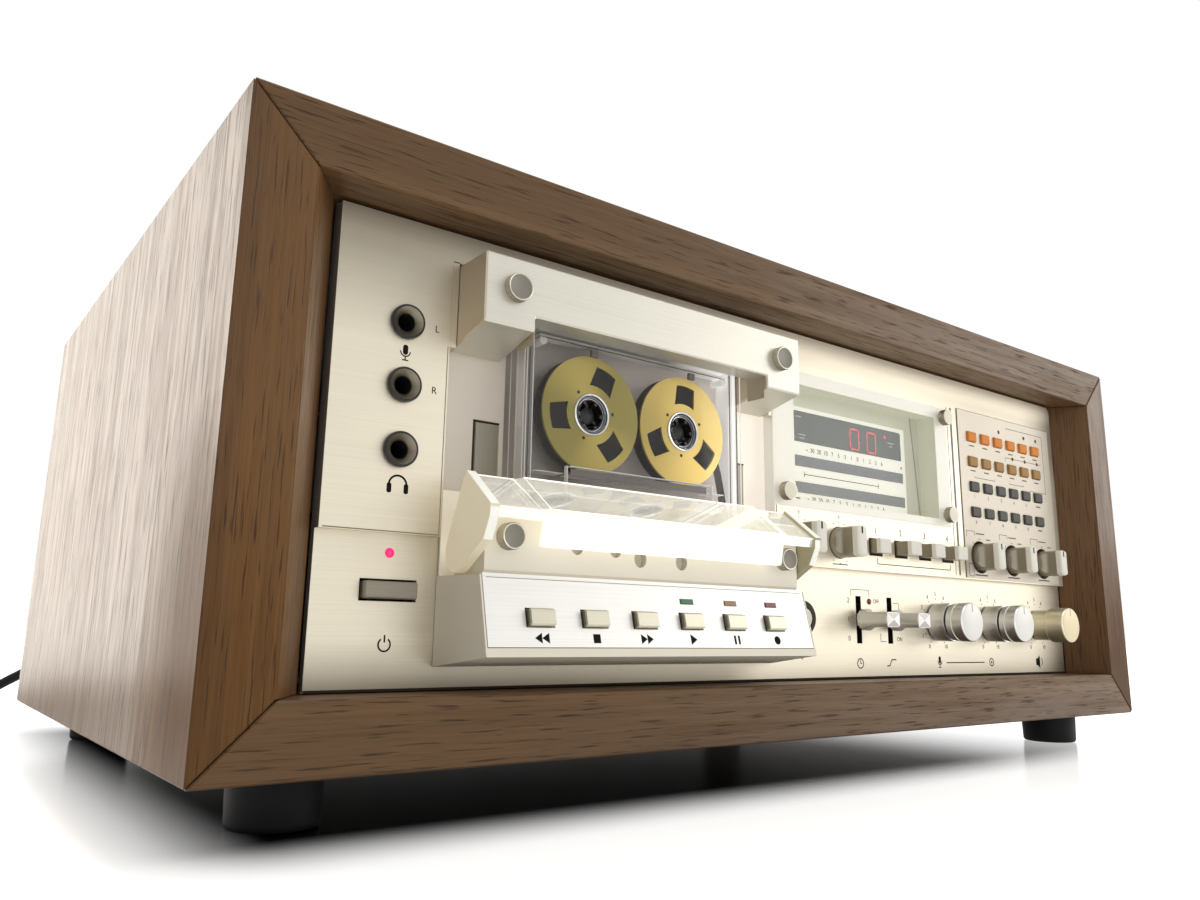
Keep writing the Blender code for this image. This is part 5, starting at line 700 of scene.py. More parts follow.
def mute_button():
    """Record-mute key with a pale middle, and the dark lining of its hole."""
    s = Shape()
    s.turned([(6.7, -7.0), (6.7, 0.2), (6.5, 0.5), (4.5, 0.5), (4.2, 0.2), (4.2, -0.2), (4.0, -0.2),
              (4.0, 0.5), (3.7, 0.8), (0, 0.9)], 0, LOWER_ROW, index=[0] * 6 + [1] * 3)
    s.done("record_mute", "mute_black cream", "champagne_metal", ["record_mute_button"],
           "record_mute_button")
    s = Shape()
    s.turned(rect(6.76, 6.97, -4.0, 0.04), 0, LOWER_ROW, closed=True)
    s.done("mute_liner", "black", "black_plastic")


def knobs():
    for line, x in zip(("mic", "line"), LEVEL_KNOBS):
        level_sleeve(f"{line}_level_outer_knob", x)
        level_grip(f"{line}_level_inner_knob", x, "chrome_knob", "chrome chrome_face grey_metal black",
                   [(2.3, -8.0), (2.3, 9.45), (7.4, 9.45), (7.4, 9.9), (8.3, 9.9), (8.5, 10.1), (8.5, 12.6),
                    (8.3, 12.8), (8.1, 12.9), (8.1, 13.1), (8.5, 13.2), (8.7, 13.4)],
                   [3] * 4 + [0] * 10 + [1] * 2)
    level_grip("output_level_knob", LEVEL_KNOBS[2], "gold_knob", "gold gold_face grey_metal",
               [(2.3, -8.0), (2.3, 0.6), (7.3, 0.6), (7.6, 0.9), (7.6, 8.9), (8.3, 9.0), (8.7, 9.5)],
               [0] * 9 + [1] * 2)
    for name, x in zip(("pitch_knob", "bias_knob", "counter_selector", "display_selector", "mode_selector"),
                       SMALL_KNOBS + SELECTORS):
        blade_knob(name, x)
    for i, x in enumerate(TAPE_BUTTONS):
        tape_button(f"tape_button_{i + 1}", x, 11.3 if i else 8.4)
        # Painted shadow in the gap round each tape button, wider on its left and lower side.
        frame_ring(f"tape_gap_shadow_{i + 1}", "gap_dark", (x - 4.9, x + 4.5, UPPER_ROW - 4.2, UPPER_ROW + 3.6),
                   (*about(x, 4.3), *about(UPPER_ROW, 3.35)), PLANE, PLANE + 0.04)
    for name, x in zip(("timer_lever", "filter_lever"), LEVERS):
        lever(name, x)
    mute_button()


# Sockets, lamps and studs

def jacks():
    """Three quarter-inch sockets with round nuts, on their bracket."""
    s = Shape()
    for i in range(3):
        z = 38.2 - 20.1 * i
        s.turned([(4.6, -18.0), (4.6, 3.3), (5.3, 3.3), (5.5, 3.5), (5.5, 4.4), (5.3, 4.85), (5.0, 4.9),
                  (4.75, 4.7), (4.1, 3.9), (3.0, 2.9), (2.8, 2.5), (2.8, -16.0), (0, -16.0)], SOCKET_X, z,
                 index=[0] * 7 + [1] * 3 + [0] * 2)
        s.turned([(3.2, -18.5), (3.2, -17.9)], SOCKET_X, z, 24)
    s.block((-191.7, -177.7), (-24.0, -18.0), (-9.0, 45.2))
    s.done("jacks", "black cone", "black_plastic", ["jack_block"])


def lamps():
    """Domed lamps at the power key and the timer lever."""
    for name, keys, *domes in (
            ("power_lamp", "led led_core", (-184.6, -32.9, 0.02, 1.5, 0.7), (-184.7, -32.8, 0.55, 0.6, 0.25)),
            ("timer_lamp", "red", (42.8, -40.3, 0.02, 1.35, 0.6))):
        s = Shape()
        for index, (x, z, out, radius, height) in enumerate(domes):
            s.turned([(radius, out), (radius * 0.92, out + height * 0.45),
                      (radius * 0.62, out + height * 0.85), (0, out + height)], x, z, 24, index)
        s.done(name, keys)


def knurled(s, x, z, radius, low, high):
    """Chrome rim with fine ridges round it, and a plain eased lip in front."""
    count = 176
    ridges = [polar(x, z, radius - (0.0, 0.09, 0.18, 0.09)[i % 4], 2 * math.pi * i / count)
              for i in range(count)]
    s.outlines([(ridges, low), (ridges, high - 0.45)] + [
        (circle(x, z, r, count), high - back) for back, r in (
            (0.35, radius - 0.1), (0.10, radius - 0.18), (0, radius - 0.35), (0, radius - 0.50),
            (0.08, radius - 0.62), (0.08, 0.01))], [0] * 6 + [1])


def stud_faces():
    """Knurled rims and turned faces over the heads of the fixing studs."""
    s = Shape()
    for reach, *form in ((61.2, 51.2, 4.66, 20.12, 22.85), (60.8, -27.3, 4.16, 19.02, 23.02)):
        for x in about(BAY, reach):
            knurled(s, x, *form)
    s.done("stud_faces", "rim stud_face", "zinc_steel")
    s = Shape()
    for x in about(42.4, 57.7):
        for z in about(26.2, 23.9):
            s.turned([(3.3, 8.2), (3.3, 8.36), (3.15, 8.38), (0, 8.38)], x, z, 48)
            s.turned([(3.74, 4.9), (3.82, 5.2), (3.82, 7.6), (3.6, 8.15), (3.4, 8.34)], x, z, 48, 1)
    s.done("glass_studs", "clear_face stud_side", "champagne_metal")


# Cassette

def reel_disc(s, x, z, front, turn):
    """Front disc with three windows, each narrower towards the rim."""
    steps, wide, narrow = 120, 28.0, 15.0
    grid = {}

    def off(i):
        """Degrees from the nearest window's middle."""
        return (360 * i / steps - 30) % 120 - 60

    def is_window(i):
        return abs(off(i + 0.5)) < wide

    def wall(k, i, other, j):
        s.face((grid[k, i, 0], grid[other, j, 0], grid[other, j, 1], grid[k, i, 1]))

    for k, r in enumerate((7.4, 10.5, 17.6, 20.5)):
        for i in range(steps):
            bent = off(i)
            if k == 2:
                bent = bent * narrow / wide if abs(bent) <= wide else math.copysign(
                    narrow + (abs(bent) - wide) * (60 - narrow) / (60 - wide), bent)
            px, pz = polar(x, z, r, math.radians(360 * i / steps - off(i) + bent + turn - 90))
            for level, out in enumerate((front - 0.8, front)):
                grid[k, i, level] = s.bm.verts.new(P(px, out, pz))
    for i in range(steps):
        j = (i + 1) % steps
        for k in range(3):
            if k == 1 and is_window(i):
                for edge in (1, 2):
                    wall(edge, i, edge, j)
                for end, neighbour in ((i, i - 1), (j, i + 1)):
                    if not is_window(neighbour):
                        wall(1, end, 2, end)
                continue
            for level in (0, 1):
                s.face((grid[k, i, level], grid[k, j, level], grid[k + 1, j, level], grid[k + 1, i, level]))
        for k in (0, 3):
            wall(k, i, k, j)


def reel(name, body, side, turn):
    """Gold reel: two discs, the wound tape, chrome ring and toothed hub."""
    x, z, back, front = BAY + REEL_X * side, REEL_Z, 1.6, 7.1
    s = Shape()
    reel_disc(s, x, z, front, turn)
    # Part 5 is the hub ring's cone, in a painted dark reflection.
    for index, steps, profile in (
            (1, 96, rect(5.3, 20.5, back, back + 0.8)),
            (1, 96, rect(5.3, 17.2, back + 0.8, front - 0.8)),
            (2, 96, rect(7.5, 18.4, front - 0.82, front - 0.72)),
            (0, 96, rect(20.42, 20.62, front - 0.85, front - 0.02)),
            (3, 64, [(5.6, front - 0.8), (7.45, front - 0.8), (7.45, front + 0.30), (7.25, front + 0.52),
                     (6.95, front + 0.50), (6.75, front + 0.30), (6.5, front - 0.70)]),
            (5, 64, [(6.45, front - 0.78), (6.45, front - 0.05), (6.3, front - 0.02), (5.85, front - 0.35),
                     (5.55, front - 1.6), (5.3, front - 1.7), (5.3, front - 2.4)]),
            (3, 64, [(5.45, front - 1.62), (5.45, front - 1.30), (5.25, front - 1.30),
                     (5.25, front - 1.62)])):
        s.turned(profile, x, z, steps, index, closed=True)
    for i in range(6):
        a = math.radians(60 * i)
        c, d = math.cos(a), math.sin(a)
        s.prism([(x + px * c - pz * d, z + px * d + pz * c) for px, pz in rect(4.2, 5.5, -0.6, 0.6)],
                (back + 0.8, front - 0.9), 4)
    for i in range(3):
        s.turned([(0.62, front), (0.62, front + 0.03), (0, front + 0.03)],
                 *polar(x, z, 9.2, math.radians(turn + 60 + 120 * i)), 16, 2)
    s.done(name, "reel tape window ring black ring_dark", "reel_gold", [name], body, angle=30)


def tape_strand():
    """Tape from the right reel down to the corner roller and along the lower edge."""
    points = [(40.1, 9.5), (41.6, 5.0), (43.0, -1.0), (44.0, -6.0), (44.6, -9.6)]
    fine = [(a[0] + (b[0] - a[0]) * i / 6, a[1] + (b[1] - a[1]) * i / 6)
            for a, b in zip(points, points[1:]) for i in range(6)]
    s = Shape(B)
    s.loft([[B(px, out, z) for px, out in rect(*about(x, 0.05), 2.4, 6.2)] for x, z in fine + points[-1:]])
    for x in (-43.6, 43.6):
        s.turned([(2.0, 1.9), (2.0, 6.7), (1.6, 7.0), (0, 7.0)], x, -11.6, 32, 1)
    s.done("tape_strand", "tape window", "black_plastic")


def cassette_inside():
    """Ribs, rollers and small posts moulded inside the clear shell, glowing with painted light, and painted
    highlights along its edges.
    """
    s = Shape(B)
    for x in (-48.4, -46.0, 44.6, 46.6, 48.4):
        s.block(about(x, 0.18), (1.1, 7.6), (-14.9, 46.5))
    for z in (44.9, 43.0):
        s.block((-43.8, 43.8), (1.7, 7.6), about(z, 0.15))
    for xs in ((-43.8, -33.0), (-30.0, -20.0), (-10.0, 12.0), (33.0, 42.0)):
        s.block(xs, (1.7, 7.3), (-3.6, -3.3))
    for x in (-42.23, 42.23):
        for z in (-12.4, 41.2):
            s.turned([(1.5, 1.7), (1.5, 7.5), (0, 7.5)], x, z, 20)
    # Painted highlights: glowing strips along the shell's side and top edges.
    for x in (-50.12, 50.12):
        for outs in ((8.30, 8.74), (-0.02, 0.30), (4.2, 4.5)):
            s.block(about(x, 0.1), outs, (-13.5, 45.3))
    s.block((-47.8, 47.8), (8.35, 8.74), (47.4, 47.7))
    s.block((-32.0, 32.0), (8.6, 10.33), (-1.35, -1.08))
    for x in (-33.2, 33.2):
        s.block(about(x, 0.15), (8.6, 10.33), (-14.0, -1.2))
    s.done("shell_ribs", "rib", "clear_plastic")
    s = Shape(B)
    for x in (-20.5, 25.5):
        s.block(about(x, 1.4), (6.5, 7.65), (39.2, 41.6))
    for x in (-49.2, -47.2, 45.6, 49.3):
        s.block(about(x, 0.09), (7.0, 7.62), (-13.5, 44.5))
    s.block((-31.0, 31.0), (8.9, 9.2), (-4.2, -1.8))
    s.block((-43.0, 43.0), (7.2, 7.5), (42.2, 42.45))
    s.done("shell_marks", "rib_dark", "black_plastic")
    # Liner behind the cassette, glowing with painted light.
    s = Shape(B)
    s.block((-50.9, 50.9), (-3.38, -3.26), (-12.4, 48.3))
    s.done("well_liner", "liner", "black_plastic")


def bay_trim():
    """Touch plates with a glowing backing and painted shadow along their left and top, strips in the gap
    between panel and bridge, and the linings of the well's notches.
    """
    s = Shape(B)
    for x in (-57.6, 57.6):
        # Behind each plate a backing that glows with painted light; along its left and top a painted shadow.
        s.block(about(x, 4.95), (-2.88, -2.80), (-8.9, 12.3), 2)
        s.block((x - 4.95, x - 4.2), (-2.80, -2.02), (-8.9, 12.3), 1)
        s.block(about(x, 4.95), (-2.80, -2.02), (11.8, 12.3), 1)
        s.block((x - 3.9, x + 4.5), (-2.2, -1.92), (-8.4, 11.5))
    s.done("touch_plates", "touch gap_dark well", "beige_moulding")
    s = Shape(B)
    for xs, z in (((-74.9, -72.7), 33.4), ((72.7, 74.9), 33.4), ((-74.9, 74.9), 62.0)):
        s.block(xs, (-1.0, 2.9), (z, 64.9))
    s.done("bay_trim", "panel", "champagne_metal")
    s = Shape(B)
    for xs in ((53.2, 53.55), (-53.55, -53.2)):
        s.block(xs, (9.8, 18.4), (34.6, 43.0))
    s.done("notch_lining", "lining", "beige_moulding")


def cassette():
    reel("reel_left", "left_reel", -1, 69.0)
    reel("reel_right", "right_reel", 1, 85.0)
    tape_strand()
    cassette_inside()
    bay_trim()


# Head cover and fascia

def cover_band():
    """White strip behind the front of the clear cover, glowing with painted light."""
    s = Shape()
    s.loft([[B(x, 28.0 + (z + 19.0) * 2.4 / 11.3 + proud / math.cos(0.209), z)
             for z, proud in rect(-29.9, -20.6, -2.40, -2.28)] for x in (-52.0, 52.0)])
    s.done("cover_band", "band", "clear_plastic", body="head_cover")


LEAN = math.atan2(5.2, 21.3)
TRANSPORT = [(k - 2.5) * 20.4 for k in range(6)]    # keys of the fascia


def F(x, proud, up):
    """Point of the slanting fascia: up along it from its lower edge, in the bay's own x."""
    down = 21.3 / math.cos(LEAN) - up
    return B(x, 20.0 + down * math.sin(LEAN) + proud * math.cos(LEAN),
             -38.4 - down * math.cos(LEAN) + proud * math.sin(LEAN))


def transport_marks():
    """Signs on the six transport keys, and the fascia's three lamps."""
    p = Print(0.0, 0.03, F)
    z = 2.7

    def triangle(x, way, size=1.6):
        left, right = about(x, way * size * 0.8)
        p.poly([(left, z - size), (right, z), (left, z + size)][::way])

    for x in about(TRANSPORT[0], 1.3):
        triangle(x, -1)
    p.bar(TRANSPORT[1], z, 2.8, 2.8)
    for x in about(TRANSPORT[2], 1.3):
        triangle(x, 1)
    triangle(TRANSPORT[3], 1, 1.8)
    for x in about(TRANSPORT[4], 0.95):
        p.bar(x, z, 0.95, 3.1)
    p.disc(TRANSPORT[5], z, 1.55)
    p.done("transport_marks", "ink")
    s = Shape(F)
    for index, x in enumerate((9.5, 30.2, 50.8)):
        s.block(about(x, 3.0), (0.0, 0.12), (14.6, 16.5), index)
        s.block(about(x, 2.7), (0.12, 0.35), (14.85, 16.25), index)
    s.done("fascia_lamps", "green amber red", "champagne_metal")


def fascia_edges():
    """Painted shadows in the gaps along the left and top of each transport key, and the line along the
    fascia's top.
    """
    half, half_up, middle = 4.7, 2.5, 8.73
    p = Print(0.0, 0.02, F)
    for x in TRANSPORT:
        p.bar(x - half - 0.25, middle + 0.1, 0.5, 2 * half_up + 0.9)
        p.bar(x, middle + half_up + 0.3, 2 * half + 0.6, 0.4)
    p.done("button_gap_shadows", "gap_dark")
    p = Print(0.0, 0.02, F)
    p.bar(0.0, 20.63, 137.0, 0.22)
    p.done("fascia_line", "seam")


def cover_edges():
    """Painted highlights: glowing rods along the clear cover's edges and folds, and along the rims of its
    arms.
    """
    s = Shape()

    def rod(a, b, half=0.16):
        s.loft([[B(x, out + dy, z + dz) for dy, dz in rect(-half, half, -half, half)]
                for x, out, z in (a, b)])

    rod((-51.8, 13.0, -7.6), (51.8, 13.0, -7.6), 0.22)
    rod((-51.8, 27.77, -19.0), (51.8, 27.77, -19.0), 0.22)
    for side in (-1, 1):
        rod((side * 55.5, 12.46, -8.32), (side * 54.0, 27.035, -19.36))
        rod((side * 51.8, 13.0, -7.6), (side * 51.0, 27.8, -19.0))
        rod((side * 55.5, 27.1, -19.5), (side * 69.0, 27.1, -19.5), 0.22)
        rod((side * 55.5, 12.4, -8.4), (side * 69.0, 12.4, -8.4))
        s.loft([[B(side * 52.3 + dx, out + dy, z) for dx, dy in rect(-0.16, 0.16, -0.16, 0.16)]
                for out, z in ((27.82, -19.2), (25.8, -29.9))])
        s.loft([[B(side * x, out + d * 0.5, z + d) for x, d in rect(69.5, 72.3, -0.12, 0.12)]
                for out, z in ((13.1, -7.7), (27.9, -18.95), (27.7, -22.7), (24.65, -29.1))], 1)
    s.done("cover_edges", "edge arm_rim", "clear_plastic", body="head_cover", smooth=False)


# Display

def D(x, out, z):
    """Point out from the floor of the display's recess."""
    return P(x, -7.3 + out, z)


def display_board():
    """Tray lining, white face and dark windows; the lining and face glow with painted light, and the tray's
    right has painted shade.
    """
    s = Shape(D)
    s.block((-11.6, 96.4), (0, 0.1), (-0.5, 50.6))
    s.block((-11.6, 83.6), (0.12, 0.9), (-0.5, 43.2), 1)
    s.prism([(-11.6, 27.6), (80.6, 27.6), (80.6, 40.2), (80.2, 41.0), (79.4, 41.4), (-11.6, 41.4)],
            (0.9, 1.05), 2)
    s.block((-11.6, 81.4), (0.9, 1.05), (16.7, 21.6), 3)
    s.block((-11.6, 82.0), (0.9, 1.05), (5.1, 10.0), 3)
    # Painted shade: a slanted strip and a thin dark line at the tray's right.
    s.prism([(95.4, -0.4), (96.3, -0.4), (96.3, 50.4), (90.4, 50.4)], (0.12, 0.2), 4)
    s.prism([(95.0, -0.4), (95.4, -0.4), (90.4, 50.4), (90.0, 50.4)], (0.2, 0.3), 5)
    s.done("display_board", "tray face slate bars shade edge_grey", "display_grey")


def display():
    """Display unit: board, meter bars, scale, lit counter of two noughts and white border."""
    display_board()
    p = Print(1.06, 1.10, D)
    for row in (19.15, 7.55):
        for i in range(48):
            p.bar(-8.0 + i * 1.86, row, 0.14, 3.9)
    p.done("meter_bars", "slate")
    p = Print(0.91, 0.94, D)
    for z in (24.4, 2.8):
        for i, value in enumerate("30 20 10 7 5 3 1 0 1 2 3 6".split()):
            p.text(value, 15.8 + i * 4.5, z, 2.9)
        p.bar(12.2, z, 1.2, 0.35)
    p.text("dB", 80.4, 24.2, 1.9)
    for x in (10.0, 62.0):
        p.bar(x, 13.4, 0.35, 2.4)
    p.bar(36.0, 13.4, 51.6, 0.3)
    p.done("scale_marks", "ink")
    p = Print(1.06, 1.10, D)
    for x in (45.5, 58.0):
        for side in (-1, 1):
            p.bar(x + side * 3.15, 35.95, 0.62, 3.8)
            p.bar(x + side * 3.15, 31.25, 0.62, 3.8)
            p.bar(x, 33.6 + side * 4.7, 5.3, 0.62)
    p.disc(68.4, 37.8, 0.85)
    p.done("counter_digits", "digit")
    p = Print(1.06, 1.10, D)
    for x, z, width in ((72.6, 35.3, 5.0), (72.6, 33.7, 2.6), (7.0, 38.8, 3.6), (9.0, 30.9, 4.4),
                        (9.0, 29.4, 3.4)):
        p.bar(x, z, width, 0.5)
    p.done("counter_marks", "pale_ink")
    for name, key, outer, inner, low, high in (
            ("display_border", "border", (-19.9, 104.9, -3.1, 55.5), (-7.0, 95.5, 0.3, 49.8), 3.06, 3.22),
            ("tray_liner", "tray", (-11.7, 96.5, -0.6, 50.8), (-11.55, 96.35, -0.45, 50.65), -7.2, -3.4),
            ("window_liner", "tray", (-10.88, 95.68, 0.22, 49.98), (-10.7, 95.5, 0.4, 49.8), -3.1, 2.9)):
        frame_ring(name, key, outer, inner, low, high)
    s = Shape()
    s.block((106.6, 106.85), (3.02, 3.10), (-25.8, 57.0))
    s.block((109.4, 110.7), (3.02, 3.10), (-25.8, 57.0))
    s.block((-18.9, -18.5), (3.02, 3.06), (-25.8, -3.4))
    s.done("display_seams", "seam", "display_grey", smooth=False)


# Keypad plate and print on the panel

KEYS_X = [126.6 + 12.2 * i for i in range(6)]
KEYS_Z = [44.5 - 12.77 * i for i in range(4)]
PLATE_X, PLATE_OUTS = (115.4, 203.0), (3.02, 3.42)
PLATE_LOW, PLATE_MIDDLE, PLATE_HIGH = -26.6, 0.6, 57.6


def key_plate():
    """Thin plate with an opening for each key, made as a grid of cells."""
    s = Shape()
    xs = [PLATE_X[0]] + [v for x in KEYS_X for v in about(x, 4.05)] + [PLATE_X[1]]
    zs = [PLATE_MIDDLE] + [v for z in KEYS_Z[::-1] for v in about(z, 2.7)] + [PLATE_HIGH]
    verts = {(i, j, k): s.bm.verts.new(P(x, out, z)) for i, x in enumerate(xs) for j, z in enumerate(zs)
             for k, out in enumerate(PLATE_OUTS)}

    def solid(i, j):
        return 0 <= i < len(xs) - 1 and 0 <= j < len(zs) - 1 and not (i % 2 and j % 2)

    for i, j in ((i, j) for i in range(len(xs)) for j in range(len(zs)) if solid(i, j)):
        for k in (0, 1):
            s.face((verts[i, j, k], verts[i + 1, j, k], verts[i + 1, j + 1, k], verts[i, j + 1, k]))
        for near, a, b in (((i - 1, j), (i, j), (i, j + 1)), ((i + 1, j), (i + 1, j), (i + 1, j + 1)),
                           ((i, j - 1), (i, j), (i + 1, j)), ((i, j + 1), (i, j + 1), (i + 1, j + 1))):
            if not solid(*near):
                s.face((verts[(*a, 0)], verts[(*b, 0)], verts[(*b, 1)], verts[(*a, 1)]))
    s.done("key_plate", "plate", "champagne_metal", smooth=False)


def selector_plate():
    """Lower part of the key plate, with a round opening for each selector."""
    s = Shape()
    edges = (PLATE_X[0], 142.9, 172.7, PLATE_X[1])
    z0, z1 = PLATE_LOW, PLATE_MIDDLE
    for x, x0, x1 in zip(SELECTORS, edges, edges[1:]):
        outer = []
        for dx, dz in circle(0, 0, 1, 48, 0.5):
            reach = min(((x1 if dx > 0 else x0) - x) / dx, ((z1 if dz > 0 else z0) - UPPER_ROW) / dz)
            outer.append((x + dx * reach, UPPER_ROW + dz * reach))
        for corner in rect(x0, x1, z0, z1):
            outer[min(range(48), key=lambda i: math.dist(outer[i], corner))] = corner
        s.sheet(outer, circle(x, UPPER_ROW, 8.0, 48, 0.5), *PLATE_OUTS)
    bmesh.ops.remove_doubles(s.bm, verts=s.bm.verts, dist=1e-6)
    s.done("selector_plate", "plate", "champagne_metal", smooth=False)


def dots(p, x, z, reach, radius, angles):
    """Small dots round a knob."""
    for angle in angles:
        p.disc(*polar(x, z, reach, math.radians(angle)), radius, 10)


def key_print():
    """Numbers, dashes and brackets on the key plate, and the seam round it."""
    p = Print(3.43, 3.46)
    for z, xs in ((50.6, (153.1, 177.8, 190.0)), (37.6, (165.0, 177.2, 189.7))):
        for x in xs:
            p.disc(x, z, 1.0)
    for z, digits in zip(KEYS_Z[2:], ("12345", "67890")):
        for x, digit in zip(KEYS_X, digits):
            p.text(digit, x, z - 5.0, 2.4)
        p.dash(0.6, *about(KEYS_X[5], 2.2), z - 4.8)
    for z in KEYS_Z[:2]:
        for x in KEYS_X:
            p.dash(0.55, *about(x, 2.2), z - 4.6)
    p.path(0.25, (160.0, 53.6), (196.6, 53.6), (196.6, 22.0), (180.0, 22.0))
    p.path(0.25, (158.0, 35.9), (158.0, 37.6), (193.5, 37.6))
    for x0, x1 in ((128.0, 146.0), (160.0, 174.0)):
        p.path(0.25, (x0, 24.6), (x0, 23.8), (x1, 23.8), (x1, 24.6))
    for x in SELECTORS:
        dots(p, x, UPPER_ROW, 8.9, 0.35, (50, 90, 130))
        p.dash(0.6, *about(x, 5.5), -25.0)
        p.path(0.25, (x - 11.0, -6.5), (x - 11.0, -3.6), (x - 4.0, -3.6), (x - 4.0, -5.6))
        p.dash(0.5, x - 2.6, x + 4.6, -4.6)
        p.dash(0.5, x + 6.0, x + 9.6, -7.2)
    p.path(0.25, (117.6, -19.6), (117.6, -25.6), (121.6, -25.6), (121.6, -19.6), (117.6, -19.6))
    p.done("key_print", "small_ink")
    p = Print(3.03, 3.05)
    p.path(0.35, (115.2, PLATE_LOW), (115.2, PLATE_HIGH))
    p.dash(0.3, 115.2, PLATE_X[1], 57.8)
    p.done("plate_seam", "gap_dark")


def microphone(p, x, z):
    """Sign of a microphone on its stand."""
    s = 0.95
    p.poly(rounded(x, z + 1.2 * s, 0.9 * s, 1.7 * s, 0.88 * s))
    p.arc(x, z + 0.7 * s, 1.7 * s, 180, 360, 0.4 * s)
    p.path(0.4 * s, (x, z - 1.0 * s), (x, z - 2.2 * s))
    p.dash(0.4 * s, *about(x, 1.1 * s), z - 2.3 * s)


def panel_print():
    """Signs and numbers on the raised plane, and on the lower one."""
    p = Print(PLANE, PLANE + 0.03)
    microphone(p, SOCKET_X, 28.2)
    p.arc(SOCKET_X, -12.85, 2.875, 0, 180, 0.625)
    for x in about(SOCKET_X, 2.75):
        p.poly(rounded(x, -13.85, 0.75, 1.5, 0.625))
    p.text("L", -174.3, 38.0, 3.2)
    p.text("R", -174.3, 18.0, 3.2)
    for x in SMALL_KNOBS:
        dots(p, x, UPPER_ROW, 8.8, 0.28, (-60, -90, -120, 65, 90, 115))
        p.text("0", x, -5.3, 2.0)
        p.dash(0.4, *about(x, 5.0), -25.4)
    p.path(0.35, (46.0, -21.2), (46.0, -23.8), (102.0, -23.8), (102.0, -21.2))
    for number, x in zip("1234", TAPE_BUTTONS):
        p.text(number, x, -9.2, 4.0)
    for x, z in ((-14.5, -8.0), (-12.5, -10.4), (11.2, -8.8), (28.5, -8.8)):
        p.disc(x, z, 0.4, 10)
    p.dash(0.5, -16.0, -4.0, 0.6)
    p.dash(0.5, -13.0, 1.0, -2.0)
    p.done("panel_print", "ink")
    p = Print(0.01, 0.04)
    for x in LEVEL_KNOBS:
        for i in range(11):
            angle = -120 - 30 * i
            dots(p, x, LOWER_ROW, 10.7, 0.32, (angle,))
            p.text(str(i), *polar(x, LOWER_ROW, 13.0, math.radians(angle)), 2.7)
    microphone(p, 93.6, -66.6)
    p.dash(0.45, 99.0, 131.0, -66.8)
    p.arc(137.4, -66.8, 1.8, 0, 360, 0.5)
    p.disc(137.4, -66.8, 0.6)
    p.poly([(181.0, -68.6), (183.2, -70.2), (183.2, -63.6), (181.0, -65.2), (179.4, -65.2), (179.4, -68.6)])
    p.arc(183.2, -66.9, 2.4, -50, 50, 0.45)
    p.arc(35.2, -66.6, 2.0, 0, 360, 0.45)
    for width, *points in (
            (0.4, (35.2, -65.2), (35.2, -66.6), (36.2, -66.6)),
            (0.5, (53.6, -67.8), (55.6, -67.8), (57.2, -65.2), (60.4, -65.2)),
            (0.25, (30.4, -38.2), (30.4, -35.4), (42.8, -35.4), (42.8, -38.2)),
            (0.25, (59.8, -40.6), (64.0, -40.6), (64.0, -43.5)),
            (0.25, (50.0, -54.0), (50.0, -57.4), (54.0, -57.4))):
        p.path(width, *points)
    for value, z in zip("210", (-40.2, -48.2, -56.2)):
        p.text(value, 28.4, z, 3.0)
    p.text("OFF", 47.6, -40.2, 2.5)
    p.text("ON", 63.6, -56.4, 2.5)
    p.arc(-184.6, -59.6, 1.9, 125, 415, 0.5, 24)
    p.path(0.5, (-184.6, -59.0), (-184.6, -56.8))
    p.disc(0.0, -62.4, 1.3)
    p.path(0.5, (-2.4, -64.6), (2.4, -60.2))
    p.done("lower_print", "ink")


# Small parts of the panel and the rear

def power_ribs():
    """Fine grooves across the power button."""
    low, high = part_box("power_button")
    middle, half = (low[0] + high[0]) / 2, (high[0] - low[0]) / 2 - 0.0007
    s = Shape(lambda x, y, z: Vector((x, y, z)))
    for i in range(6):
        z = low[2] + (high[2] - low[2]) * (i + 1) / 7
        s.block(about(middle, half), (low[1] + 0.00008, low[1] - 0.00004), about(z, 0.0001))
    s.done("power_ribs", "edge_grey", "zinc_steel", body="power_button", smooth=False)


def seams():
    """Dark gap under the panel, seams beside the bay, slot linings, and black screens that close the inside,
    standing in for its shade.
    """
    p = Print(0.01, 0.03)
    p.dash(0.75, -207.6, 207.6, -72.45)
    p.done("panel_gap", "gap_dark")
    p = Print(PLANE, PLANE + 0.03)
    p.path(0.3, (-170.2, -26.6), (-170.2, 33.2))
    p.dash(0.35, -207.0, -170.0, -26.8)
    p.done("bay_seam", "seam")
    s = Shape()
    for x in LEVERS:
        s.block((x - 1.75, x - 1.42), (-2.9, -0.05), (-58.2, -38.2))
        s.block((x + 1.42, x + 1.75), (-2.9, -0.05), (-58.2, -38.2))
    s.done("slot_linings", "ink", "black_plastic")
    # Black screens stand in for the shade inside the deck.
    s = Shape()
    s.block((-205.0, -180.0), (-26.0, -25.0), (-68.0, -20.0))
    s.block((-16.0, 205.0), (-40.0, -39.0), (-70.0, 60.0))
    s.done("inner_screens", "black", "black_plastic")


def rear_screws():
    """Screws that hold the rear sheet, domed and cross-slotted."""
    s = Shape(lambda x, out, z: Vector((x * MM, REAR_Y + out * MM, PANEL_Z + z * MM)))
    for x in (-196, -66, 66, 196):
        for z in (-67, 58):
            s.turned([(2.6, -0.3), (2.6, 0.2), (2.2, 0.7), (1.4, 1.0), (0, 1.15)], x, z, 24)
            for half_x, half_z in ((1.3, 0.28), (0.28, 1.3)):
                s.block(about(x, half_x), (0.9, 1.2), about(z, half_z), 1)
    s.done("rear_screws", "zinc gap_dark", "zinc_steel")


